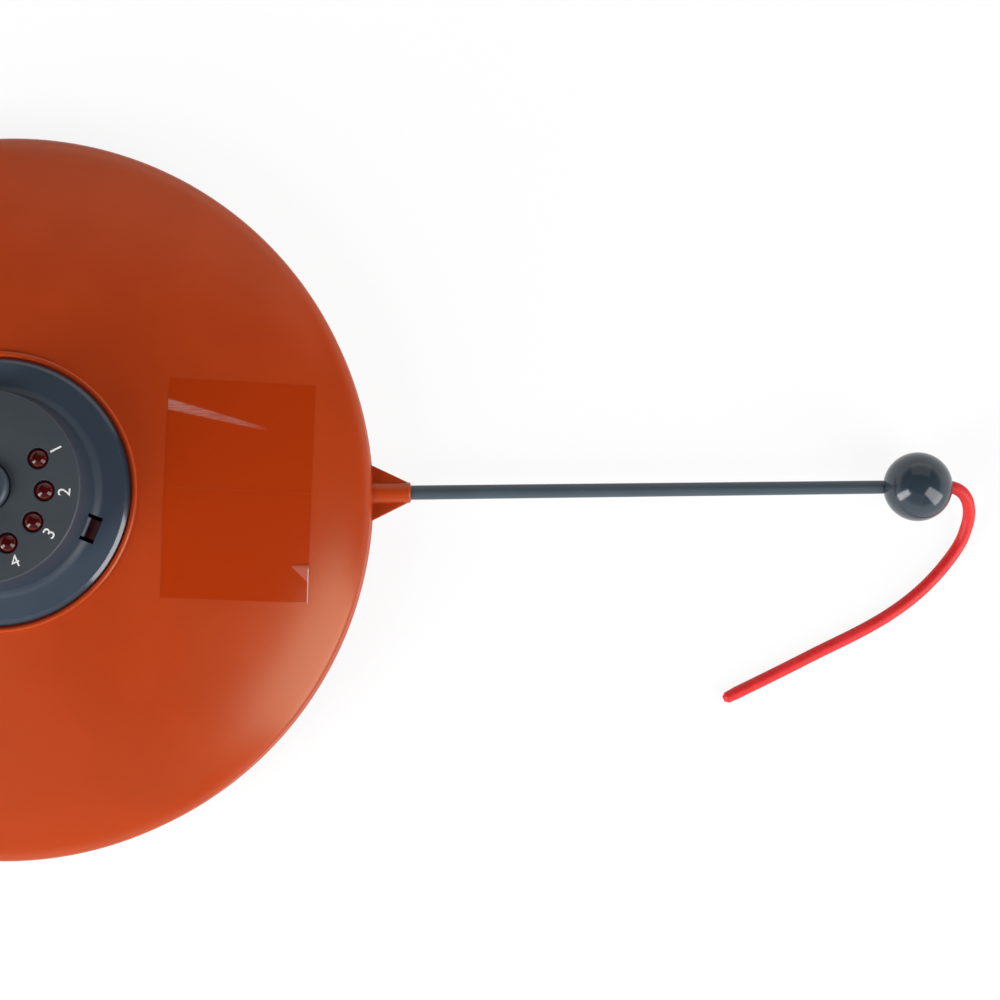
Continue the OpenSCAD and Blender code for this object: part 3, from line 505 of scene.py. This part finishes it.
def clear_film():
    """Clear film that wets out the satin grain, with a crease and a lifted corner; the crease's glare
    streak, a sheen on the lifted corner and highlights along two edges are painted white.
    """
    gloss = {"Specular_IOR_Level": 0.3, "Specular_Tint": WARM_GLOSS}
    finish = Finish("clear_film", Roughness=0.16, IOR=1.45, **gloss)
    across, along, _ = finish.axes()

    def beside(start, end):
        """Distance to the left of a line between two points in millimetres."""
        run = (Vector(end) - Vector(start)).normalized()
        return (across - start[0] * MM) * -run.y + (along - start[1] * MM) * run.x

    # A painted glare streak along the crease whitens the film there.
    start, end = (Vector(p) for p in FILM_CREASE_GLARE)
    run = (end - start).normalized()
    forth = (across - start.x * MM) * run.x + (along - start.y * MM) * run.y
    share = forth / ((end - start).length * MM)
    half = (1 - share) * GLARE_SPREAD + GLARE_TIP
    aside = beside(start, end)
    wedge = finish.step(aside * aside / (half * half), 1.25, 0.6) * finish.step(share, 1.0, 0.72)
    turn = math.degrees(math.atan2(run.y, run.x))
    streaks = finish.scratches((4, 70, 4), -turn, 0.3, 0.75, detail=3)
    crease_glare = wedge * (streaks * 0.7 + 0.3) * (1.15 - share * 0.75)
    # The lifted corner is painted whiter: a painted sheen on the fold, above its real curl.
    fold_sheen = finish.step(beside(FILM_FOLD[1], FILM_FOLD[0]), 0, 0.4 * MM)
    fold_sheen = fold_sheen * finish.step(beside(FILM_FOLD[0], FILM_FOLD[2]), 0, 0.4 * MM)
    # Painted highlights along the lower film's right and bottom edges.
    rim = finish.step(beside(*FILM_RIM), 0.45 * MM, 0.2 * MM) * finish.step(along, -26 * MM, -27 * MM)
    foot = finish.step(beside(*FILM_FOOT), 0.4 * MM, 0.15 * MM) * finish.step(across, 93 * MM, 103 * MM)
    bubbles = finish.step(finish.noise(0.8 * MM, 3), 0.68, 0.76) * finish.patches(8 * MM, 0.56, 0.68)
    # Painted glare, sheen and edge highlights, together with the bubbles, whiten the film and make it less
    # clear.
    white = crease_glare * 0.3 + fold_sheen * 0.13 + rim * 0.5 + foot * 0.4 + bubbles * 0.1
    finish.feed("Base Color", finish.mix(white, (0.465, 0.042, 0.0045), (0.85, 0.68, 0.60)))
    finish.feed("Alpha", white * 0.12 + 0.86)
    finish.bump(crease_glare * 0.5 + finish.noise(14 * MM, 2) + fold_sheen * 0.5, 0.1 * MM)
    return finish.material


# Plain mouldings: light and dark colour, roughness, and the size and depth of the grain
MOULDED = {
    "button_slate": ((0.040, 0.055, 0.072), (0.036, 0.050, 0.066), 0.42, 0.3 * MM, 0.012 * MM),
    "acetal": ((0.80, 0.78, 0.72), (0.75, 0.73, 0.66), 0.38, 0.4 * MM, 0.01 * MM),
    "switch_black": ((0.022, 0.023, 0.025), (0.017, 0.018, 0.019), 0.5, 0.3 * MM, 0.01 * MM),
    "led_red": ((0.56, 0.032, 0.024), (0.48, 0.026, 0.020), 0.16, 1.5 * MM, 0.004 * MM),
}
TAIL_RED = ((0.76, 0.025, 0.026), (0.68, 0.018, 0.019), 0.5)
FINISHES = {
    "shell_orange": shell_plastic(),
    "hub_slate": hub_plastic(),
    "wand_slate": wand_plastic(),
    "tail_red": soft_rubber("tail_red", *TAIL_RED, Specular_IOR_Level=0.35),
    "lens_red": lens_plastic(),
    "steel": metal("steel", (0.52, 0.53, 0.54), (0.42, 0.43, 0.44), 0.32),
    "brass": metal("brass", (0.60, 0.41, 0.11), (0.50, 0.33, 0.07), 0.30, 40),
    "board_green": board_mask(),
    "foot_rubber": soft_rubber("foot_rubber", (0.026, 0.028, 0.030), (0.018, 0.019, 0.021), 0.7),
    "cell_jacket": cell_film(),
}
for moulded_slot, moulded_look in MOULDED.items():
    FINISHES[moulded_slot] = moulded(moulded_slot, *moulded_look)
PRINT_WHITE = ink("print_white", (0.80, 0.80, 0.79))
CLEAR_FILM = clear_film()


def deselect():
    """Leaves nothing for operators to act on."""
    bpy.ops.object.select_all(action="DESELECT")


def only(piece):
    """Makes a piece the only one that operators act on."""
    deselect()
    piece.select_set(True)
    bpy.context.view_layer.objects.active = piece


def arc(centre, radius, start, end, steps):
    """Points on a circular arc between two angles in degrees."""
    angles = [math.radians(start + (end - start) * i / steps) for i in range(steps + 1)]
    return [(centre[0] + radius * math.cos(a), centre[1] + radius * math.sin(a)) for a in angles]


def bezier(points, steps):
    """Points on a cubic curve with four control points."""
    shares = [i / steps for i in range(steps + 1)]
    weights = [((1 - t) ** 3, 3 * (1 - t) ** 2 * t, 3 * (1 - t) * t**2, t**3) for t in shares]
    return [tuple(sum(w * p[axis] for w, p in zip(row, points)) for axis in (0, 1)) for row in weights]


def corner(before, at, after, soft):
    """Control points of a small rounding at a corner of an outline."""
    at = Vector(at)
    start = at + (Vector(before) - at).normalized() * soft
    end = at + (Vector(after) - at).normalized() * soft
    return [start, (start + 2 * at) / 3, (end + 2 * at) / 3, end]


def weld():
    """Joins the points that meet on the mesh being edited, turns its faces outwards and ends the edit."""
    bpy.ops.mesh.select_all(action="SELECT")
    bpy.ops.mesh.remove_doubles(threshold=WELD)
    bpy.ops.mesh.normals_make_consistent(inside=False)
    bpy.ops.object.mode_set(mode="OBJECT")


def turned(name, outline, steps):
    """A piece turned about Z: its outline of radius and height is drawn point by point and spun.

    An outline that starts away from the axis is closed first.
    """
    if outline[0][0] > 0:
        outline = outline + outline[:1]
    deselect()
    bpy.ops.mesh.primitive_plane_add(size=MM)
    piece = bpy.context.object
    piece.name = name
    bpy.ops.object.mode_set(mode="EDIT")
    bpy.ops.mesh.select_mode(type="VERT")
    bpy.ops.mesh.merge(type="CENTER")
    bpy.ops.transform.translate(value=(outline[0][0], 0, outline[0][1]))
    for (r, z), (next_r, next_z) in zip(outline, outline[1:]):
        move = {"value": (next_r - r, 0, next_z - z)}
        bpy.ops.mesh.extrude_vertices_move(TRANSFORM_OT_translate=move)
    bpy.ops.mesh.select_all(action="SELECT")
    bpy.ops.mesh.spin(steps=steps, angle=math.tau, center=(0, 0, 0), axis=(0, 0, 1))
    weld()
    return piece


def block(low, high):
    """A box between two corners, to be shaped further or used as a tool."""
    deselect()
    low, high = Vector(low), Vector(high)
    bpy.ops.mesh.primitive_cube_add(size=1, location=(low + high) / 2, scale=high - low)
    bpy.ops.object.transform_apply()
    return bpy.context.object


def settle(piece, place=(0, 0, 0), turn=(0, 0, 0)):
    """Turns a piece, in degrees, and moves it, and writes that into its mesh."""
    only(piece)
    piece.rotation_euler = [math.radians(a) for a in turn]
    piece.location = place
    bpy.ops.object.transform_apply()
    return piece


def shift_points(piece, chosen, move):
    """Moves the points that a test chooses by their place."""
    only(piece)
    for part in (piece.data.polygons, piece.data.edges, piece.data.vertices):
        part.foreach_set("select", [False] * len(part))
    for point in piece.data.vertices:
        point.select = chosen(point.co)
    bpy.ops.object.mode_set(mode="EDIT")
    bpy.ops.mesh.select_mode(type="VERT")
    bpy.ops.transform.translate(value=move)
    weld()
    return piece


def apply(piece, kind, **settings):
    """Adds a modifier with its settings and applies it."""
    only(piece)
    modifier = piece.modifiers.new(kind.lower(), kind)
    for name, value in settings.items():
        setattr(modifier, name, value)
    bpy.ops.object.modifier_apply(modifier=modifier.name)


def carve(piece, tools, operation):
    """Cuts tools out of a piece, or unites them with it, and removes the tools."""
    for tool in tools:
        apply(piece, "BOOLEAN", object=tool, operation=operation, solver="EXACT")
        bpy.data.objects.remove(tool)
    return piece


def smooth(piece, angle=30):
    """Shades a piece smoothly, apart from edges sharper than an angle in degrees."""
    only(piece)
    bpy.ops.object.shade_smooth_by_angle(angle=math.radians(angle))


def fit(piece, body, slot, *nodes, finish=None):
    """Gives a piece its finish, lets it ride on its body and stand for construction nodes."""
    piece.data.materials.clear()
    piece.data.materials.append(finish or FINISHES[slot])
    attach(piece, body)
    if nodes:
        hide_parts(*nodes)


def soft_tail():
    """Limp red tail: out of the ball's mouth, over and down to the floor, then away in a loose curve."""
    curve = bpy.data.curves.new("soft_tail", "CURVE")
    curve.dimensions = "3D"
    curve.bevel_depth = TAIL_R
    curve.bevel_resolution = 8
    curve.resolution_u = 10
    curve.use_fill_caps = True
    spline = curve.splines.new("BEZIER")
    spline.bezier_points.add(len(TAIL_ROUTE) - 1)
    for knot, (x, y, z) in zip(spline.bezier_points, TAIL_ROUTE):
        knot.co = (BALL_X + x * MM, y * MM, z * MM)
        knot.handle_left_type = knot.handle_right_type = "AUTO"
    for knot, share in zip(spline.bezier_points[-len(TAIL_TIP):], TAIL_TIP):
        knot.radius = share
    tail = bpy.data.objects.new("soft_tail", curve)
    bpy.context.scene.collection.objects.link(tail)
    fit(tail, "wand", "tail_red", "wand_tail")


def crown(depth):
    """Control points of the shell's crown from the skirt to the lip, set in by a depth."""
    rise = CROWN_TOP - CROWN_Z
    run, lift = (SHELL_R - LIP_OUT) * CROWN_SHOULDER[0], rise * CROWN_SHOULDER[1]
    return [
        (SHELL_R - depth, CROWN_Z),
        (SHELL_R - depth, CROWN_Z + rise * CROWN_LIFT - depth / 2),
        (SHELL_R - run - depth / 3, CROWN_Z + lift - depth),
        (LIP_OUT, CROWN_TOP - depth),
    ]


def wand_socket():
    """Tapered socket with a rounded mouth and a bore for the rod."""
    length = SOCKET_TIP - SOCKET_ROOT
    bore = ROD_R + PLAY
    depth = ROD_START - SOCKET_ROOT
    outline = [(0, 0), (SOCKET_R, 0)]
    outline += arc((SOCKET_TIP_R - SOCKET_EDGE, length - SOCKET_EDGE), SOCKET_EDGE, 0, 90, 5)
    outline += arc((bore + BORE_EDGE, length - BORE_EDGE), BORE_EDGE, 90, 180, 2)
    outline += [(bore, depth), (0, depth)]
    return settle(turned("wand_socket", outline, STEPS_ROD), (SOCKET_ROOT, 0, WAND_H), (0, 90, 0))


def socket_web(side):
    """Flat web from the skirt to the socket's mouth, on one side of the wand."""
    root = SHELL_R - SHELL_WALL + WEB_SINK
    tip = SOCKET_TIP - WEB_SHORT
    wide = SOCKET_TIP_R + (WEB_HALF - SOCKET_TIP_R) * (tip - root) / (tip - SHELL_R)
    web = block((root, WEB_FOOT, WAND_H - WEB_T / 2), (tip, wide, WAND_H + WEB_T / 2))
    shift_points(web, lambda p: p.x > SHELL_R and p.y > WEB_HALF / 2, (0, SOCKET_TIP_R - wide, 0))
    apply(web, "BEVEL", width=WEB_EDGE, segments=3)
    if side < 0:
        settle(web, (0, 0, 2 * WAND_H), (180, 0, 0))
    return web


def turning_shell():
    """Orange shell: skirt, crown, lip bead and neck in one turning, with the wand's socket united to it."""
    flange_top = NECK_Z + NECK_FLANGE_T
    neck_out = NECK_R + SHELL_WALL
    inner = bezier(crown(SHELL_WALL), 48)
    outline = [(SHELL_R - SHELL_WALL, SKIRT_LOW)]
    outline += arc((SHELL_R - SKIRT_EDGE, SKIRT_LOW + SKIRT_EDGE), SKIRT_EDGE, -90, 0, 6)
    outline += bezier(crown(0), 72)
    outline += arc((LIP_OUT - LIP_BEAD, LIP_TOP - LIP_BEAD), LIP_BEAD, 0, 180, 20)
    outline += [(NECK_R, flange_top), (NECK_FLANGE_R, flange_top)]
    outline += [(NECK_FLANGE_R, NECK_Z), (neck_out, NECK_Z)]
    outline += [p for p in reversed(inner) if p[0] > neck_out]
    shell = turned("turning_shell", outline, STEPS_LARGE)
    carve(shell, [wand_socket(), socket_web(1), socket_web(-1)], "UNION")
    smooth(shell)
    fit(shell, "rotor", "shell_orange", "shell")
    return shell


def window_tool(turn):
    """Tool for one snap window: the opening with its eased edge, and the slots that free its tongue."""
    low = CAP_UNDER - MM
    half = WINDOW_W / 2
    reach = TURRET_R + WINDOW_REACH
    opening = block((TURRET_BORE + SNAP_T, -half, low), (reach, half, CAP_Z + WINDOW_RISE))
    tools = []
    for side in (-half, half - SLOT_W):
        slot_high = (TURRET_R + MM, side + SLOT_W, CAP_Z + TONGUE_H)
        tools.append(block((TURRET_BORE - MM, side, low), slot_high))
    edge = reach - INSET
    ease_low = (edge - MM, INSET - half, CAP_Z - WINDOW_EASE)
    ease = block(ease_low, (edge, half - INSET, CAP_Z + WINDOW_EASE))
    shift_points(ease, lambda p: p.x > edge - INSET and p.z > CAP_Z, (2 * WINDOW_EASE, 0, 0))
    return settle(carve(opening, tools + [ease], "UNION"), turn=(0, 0, turn))


def window_sill():
    """Sloped sill on a tongue, just above the floor."""
    half = WINDOW_W / 2 - SLOT_W - SILL_GAP
    outer = TURRET_R + SILL_OUT
    sill = block((outer - SILL_T, -half, CAP_Z - CAP_WALL / 2), (outer, half, CAP_Z + SILL_H))
    return shift_points(sill, lambda p: p.x > outer - MM and p.z > CAP_Z, (0, 0, -SILL_FALL))


def snap_leg(turn):
    """Leg below a tongue, with the sill above it and the barb that holds the hub down."""
    half = WINDOW_W / 2 - SLOT_W - PLAY
    outer = TURRET_BORE + SNAP_T - INSET
    leg = block((TURRET_BORE + SNAP_BACK, -half, SNAP_Z), (outer, half, SNAP_TOP))
    barb_low = (outer - BARB_SINK, INSET - half, SNAP_Z + INSET)
    barb = block(barb_low, (BARB_R, half - INSET, SNAP_Z + BARB_H))
    slope = (outer - INSET - BARB_R, 0, 0)
    shift_points(barb, lambda p: p.x > outer + MM and p.z < SNAP_Z + MM, slope)
    return settle(carve(leg, [barb, window_sill()], "UNION"), turn=(0, 0, turn))


def lens_places():
    """Where the lenses stand on the dial."""
    corners = [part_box(f"lens_{number}") for number in range(1, LENS_COUNT + 1)]
    return [((low.x + high.x) / 2, (low.y + high.y) / 2, 0) for low, high in corners]


def lens_cutter(place):
    """Tool for a lens hole with a chamfered brim."""
    hole = LENS_R + LENS_GAP
    flare = hole + LENS_CHAMFER
    outline = [(0, ROOF_Z - MM), (hole, ROOF_Z - MM), (hole, TURRET_Z - LENS_CHAMFER)]
    outline += [(flare, TURRET_Z), (flare, TURRET_Z + MM), (0, TURRET_Z + MM)]
    return settle(turned("lens_cutter", outline, STEPS_LENS), place)


def hub_cover():
    """Grey hub: ring floor and turret in one turning, with lens holes, snap windows and their legs."""
    wall_foot = TURRET_R + TURRET_FILLET
    top_r = TURRET_R - TURRET_DRAFT
    hole = BUTTON_R + BUTTON_GAP
    inner = HUB_R - CAP_WALL
    brink = (HUB_R + CAP_FLARE, CAP_Z - CAP_BEVEL_H)
    ledge = (HUB_R + CAP_FLARE - CAP_BEVEL, CAP_Z)
    outline = [(inner, SKIRT_Z), (HUB_R, SKIRT_Z)]
    outline += bezier(corner((HUB_R, SKIRT_Z), brink, ledge, CAP_SOFT), 4)
    outline += bezier(corner(brink, ledge, (wall_foot, CAP_Z), CAP_SOFT / 2), 3)
    outline += arc((wall_foot, CAP_Z + TURRET_FILLET), TURRET_FILLET, -90, -180, 10)
    outline += arc((top_r - DIAL_EDGE, TURRET_Z - DIAL_EDGE), DIAL_EDGE, 0, 90, 8)
    outline += arc((hole + CAP_SOFT, TURRET_Z - CAP_SOFT), CAP_SOFT, 90, 180, 4)
    outline += [(hole, ROOF_Z), (top_r - CAP_WALL, ROOF_Z)]
    outline += [(TURRET_BORE, CAP_UNDER), (inner, CAP_UNDER)]
    hub = turned("hub_cover", outline, STEPS_LARGE)
    for i in range(WINDOW_COUNT):
        turn = WINDOW_TURN + i * 360 / WINDOW_COUNT
        carve(hub, [window_tool(turn)], "DIFFERENCE")
        carve(hub, [snap_leg(turn)], "UNION")
    carve(hub, [lens_cutter(place) for place in lens_places()], "DIFFERENCE")
    smooth(hub)
    fit(hub, "base", "hub_slate", "hub_cap")


def indicator_lens(number, place):
    """Domed lens with the flange that holds it under the dial."""
    dome_r = (LENS_R**2 + LENS_RISE**2) / (2 * LENS_RISE)
    half = math.degrees(math.asin(LENS_R / dome_r))
    foot = ROOF_Z - LENS_FLANGE_T
    brim = LENS_R + LENS_FLANGE
    outline = [(0, foot), (brim, foot), (brim, ROOF_Z), (LENS_R, ROOF_Z)]
    outline += arc((0, TURRET_Z - LENS_SINK + LENS_RISE - dome_r), dome_r, 90 - half, 90, 14)
    lens = settle(turned(f"indicator_lens_{number}", outline, STEPS_LENS), place)
    smooth(lens, 40)
    fit(lens, "base", "lens_red", f"lens_{number}")


def push_button():
    """Round button with a soft edge, a raised rim and a shallow dish for the finger."""
    dish_r = BUTTON_R - 2 * BUTTON_EDGE
    flange_r = BUTTON_R + BUTTON_FLANGE
    flange_top = ROOF_Z - BUTTON_GAP
    flange_low = flange_top - BUTTON_FLANGE_T
    shares = [1 - i / 10 for i in range(11)]
    outline = [(0, BUTTON_FOOT), (BUTTON_STEM_R, BUTTON_FOOT), (BUTTON_STEM_R, flange_low)]
    outline += [(flange_r, flange_low), (flange_r, flange_top), (BUTTON_R, flange_top)]
    outline += arc((BUTTON_R - BUTTON_EDGE, BUTTON_TOP - BUTTON_EDGE), BUTTON_EDGE, 0, 90, 12)
    outline += [(dish_r * share, BUTTON_TOP - BUTTON_DISH * (1 - share**2)) for share in shares]
    button = turned("push_button", outline, STEPS_BUTTON)
    smooth(button)
    fit(button, "button", "button_slate", "mode_button")


def dial_number(number, place):
    """Printed number outside a lens, its top towards the middle of the dial."""
    bearing = math.atan2(place[1], place[0])
    deselect()
    bpy.ops.object.text_add()
    text = bpy.context.object
    text.name = f"dial_number_{number}"
    text.data.body = str(number)
    text.data.align_x = "CENTER"
    text.data.align_y = "CENTER"
    text.data.size = NUMBER_FONT
    text.data.extrude = INK_T / 2
    bpy.ops.object.convert(target="MESH")
    printed = bpy.context.object
    spot = (NUMBER_ORBIT * math.cos(bearing), NUMBER_ORBIT * math.sin(bearing), TURRET_Z)
    settle(printed, spot, (0, 0, math.degrees(bearing) + 90))
    fit(printed, "base", None, finish=PRINT_WHITE)


def wand_stick():
    """Tapered rod, from the bottom of its socket to the bottom of the ball's hole."""
    length = ROD_END - ROD_START
    held = SOCKET_TIP - ROD_START
    taper = length - BALL_HOLE - held
    outline = [(0, 0)] + arc((ROD_R - ROD_EDGE, ROD_EDGE), ROD_EDGE, -90, 0, 4) + [(ROD_R, held)]
    for i in range(1, ROD_RINGS + 1):
        outline.append((ROD_R + (ROD_TIP_R - ROD_R) * i / ROD_RINGS, held + taper * i / ROD_RINGS))
    outline += [(ROD_TIP_R, length), (0, length)]
    rod = settle(turned("wand_stick", outline, STEPS_ROD), (ROD_START, 0, WAND_H), (0, 90, 0))
    smooth(rod)
    fit(rod, "wand", "wand_slate", "wand_rod")


def wand_bead():
    """Ball with the rod's hole on one side and a flared mouth for the tail on the other."""
    mouth_r = TAIL_R + PLAY
    flare_r = TAIL_R + MOUTH_FLARE
    low = math.degrees(math.asin(ROD_TIP_R / BALL_R))
    high = math.degrees(math.asin(flare_r / BALL_R))
    outline = [(0, BALL_HOLE - BALL_R), (ROD_TIP_R, BALL_HOLE - BALL_R)]
    outline += arc((0, 0), BALL_R, low - 90, 90 - high, 72)
    outline += [(mouth_r, BALL_R - MOUTH_DEPTH), (mouth_r, BALL_R - BALL_HOLE), (0, BALL_R - BALL_HOLE)]
    ball = settle(turned("wand_bead", outline, STEPS_BALL), (BALL_X, 0, WAND_H), (0, 90, 0))
    smooth(ball)
    fit(ball, "wand", "wand_slate", "wand_ball")


def label_film(number, side, shell):
    """Clear film laid on the crown, bare; the second sheet curls up at one corner."""
    deselect()
    bpy.ops.mesh.primitive_grid_add(x_subdivisions=FILM_GRID[0], y_subdivisions=FILM_GRID[1], size=1)
    film = bpy.context.object
    film.name = f"label_film_{number}"
    film.scale = (FILM_W, FILM_H, 1)
    bpy.ops.object.transform_apply()
    settle(film, (0, side * (FILM_H + FILM_SEAM) / 2, 0))
    settle(film, (*FILM_AT, FILM_DROP), (0, 0, FILM_TURN))
    wrap = {"wrap_method": "PROJECT", "use_project_z": True, "use_negative_direction": True}
    apply(film, "SHRINKWRAP", target=shell, offset=FILM_LIFT, **wrap)
    hinge = [Vector(p) * MM for p in FILM_FOLD]
    run = (hinge[2] - hinge[0]).normalized()
    square = Vector((-run.y, run.x))
    for point in film.data.vertices:
        if side < 0 and point.co.y < hinge[0].y:
            out = max(0, (point.co.xy - hinge[0]).dot(square))
            point.co.z += min(FILM_CURL, out * FILM_SLOPE)
    apply(film, "SOLIDIFY", thickness=FILM_T, offset=1)
    smooth(film, 50)
    fit(film, "rotor", None, finish=CLEAR_FILM)


def make_camera():
    """Camera at the photograph's viewing angle."""
    data = bpy.data.cameras.new("camera")
    data.sensor_width = SENSOR_MM
    data.lens = FOCAL_PX / IMAGE_PX * SENSOR_MM
    camera = bpy.data.objects.new("camera", data)
    bpy.context.scene.collection.objects.link(camera)
    tilt = Matrix.Rotation(math.radians(CAMERA_TILT), 4, "X")
    pan = Matrix.Rotation(math.radians(CAMERA_PAN), 4, "Y")
    roll = Matrix.Rotation(math.radians(CAMERA_ROLL), 4, "Z")
    camera.matrix_world = Matrix.Translation(CAMERA_AT) @ tilt @ pan @ roll
    bpy.context.scene.camera = camera


def studio_floor():
    """Pale floor that reads as white, with the object's soft shadow on it."""
    deselect()
    bpy.ops.mesh.primitive_plane_add(size=FLOOR_SIZE)
    floor = bpy.context.object
    floor.name = "studio_floor"
    finish = Finish("floor_white", Base_Color=FLOOR_GREY, Roughness=0.9, Specular_IOR_Level=0.0)
    path = finish.node("ShaderNodeLightPath").socket.node.outputs
    rays = ("Camera", "Glossy", "Transmission")
    camera, glossy, through = (Wire(finish, path[f"Is {kind} Ray"]) for kind in rays)
    clamped = {"operation": "ADD", "use_clamp": True}
    seen = finish.node("ShaderNodeMath", clamped, {0: camera + glossy, 1: through})
    glow = finish.node("ShaderNodeEmission", {}, {"Color": (1, 1, 1, 1), "Strength": FLOOR_GLOW})
    body = Wire(finish, finish.surface.outputs[0])
    shown = finish.node("ShaderNodeMixShader", {}, {0: seen * FLOOR_GLOW_SHARE, 1: body, 2: glow})
    output = finish.tree.nodes["Material Output"]
    finish.tree.links.new(shown.socket, output.inputs["Surface"])
    floor.data.materials.append(finish.material)


def studio_world():
    """White room walls round a darker ceiling."""
    world = bpy.data.worlds.new("studio")
    bpy.context.scene.world = world
    world.use_nodes = True
    nodes, links = world.node_tree.nodes, world.node_tree.links
    place = nodes.new("ShaderNodeTexCoord")
    split = nodes.new("ShaderNodeSeparateXYZ")
    rise = nodes.new("ShaderNodeMapRange")
    rise.interpolation_type = "SMOOTHSTEP"
    for socket, value in WORLD_RISE.items():
        rise.inputs[socket].default_value = value
    links.new(place.outputs["Generated"], split.inputs[0])
    links.new(split.outputs["Z"], rise.inputs["Value"])
    links.new(rise.outputs[0], nodes["Background"].inputs["Color"])


def softbox(name, heading, distance, width, height, power):
    """Soft lamp that looks at the middle of the toy from a heading."""
    data = bpy.data.lights.new(name, "AREA")
    data.shape = "RECTANGLE"
    data.size, data.size_y = width, height
    data.energy = power
    lamp = bpy.data.objects.new(name, data)
    bpy.context.scene.collection.objects.link(lamp)
    away = Vector(heading).normalized()
    lamp.location = away * distance + Vector(LAMP_AIM)
    lamp.rotation_euler = (math.acos(away.z), 0, math.atan2(away.x, -away.y))


make_camera()
soft_tail()
shell_piece = turning_shell()
for film_number, film_side in ((1, 1), (2, -1)):
    label_film(film_number, film_side, shell_piece)
hub_cover()
push_button()
for lens_number, lens_place in enumerate(lens_places(), 1):
    indicator_lens(lens_number, lens_place)
    dial_number(lens_number, lens_place)
wand_stick()
wand_bead()

# Construction nodes that show as they are take the finish of their slot
for subpart in frame["record"]["subparts"]:
    node = frame["nodes"][subpart["node"]]
    node.data.materials.clear()
    node.data.materials.append(FINISHES[subpart["material_slot"]])

studio_floor()
studio_world()
for lamp_name, lamp_setting in LAMPS.items():
    softbox(lamp_name, *lamp_setting)
bpy.context.scene.view_settings.view_transform = "Standard"
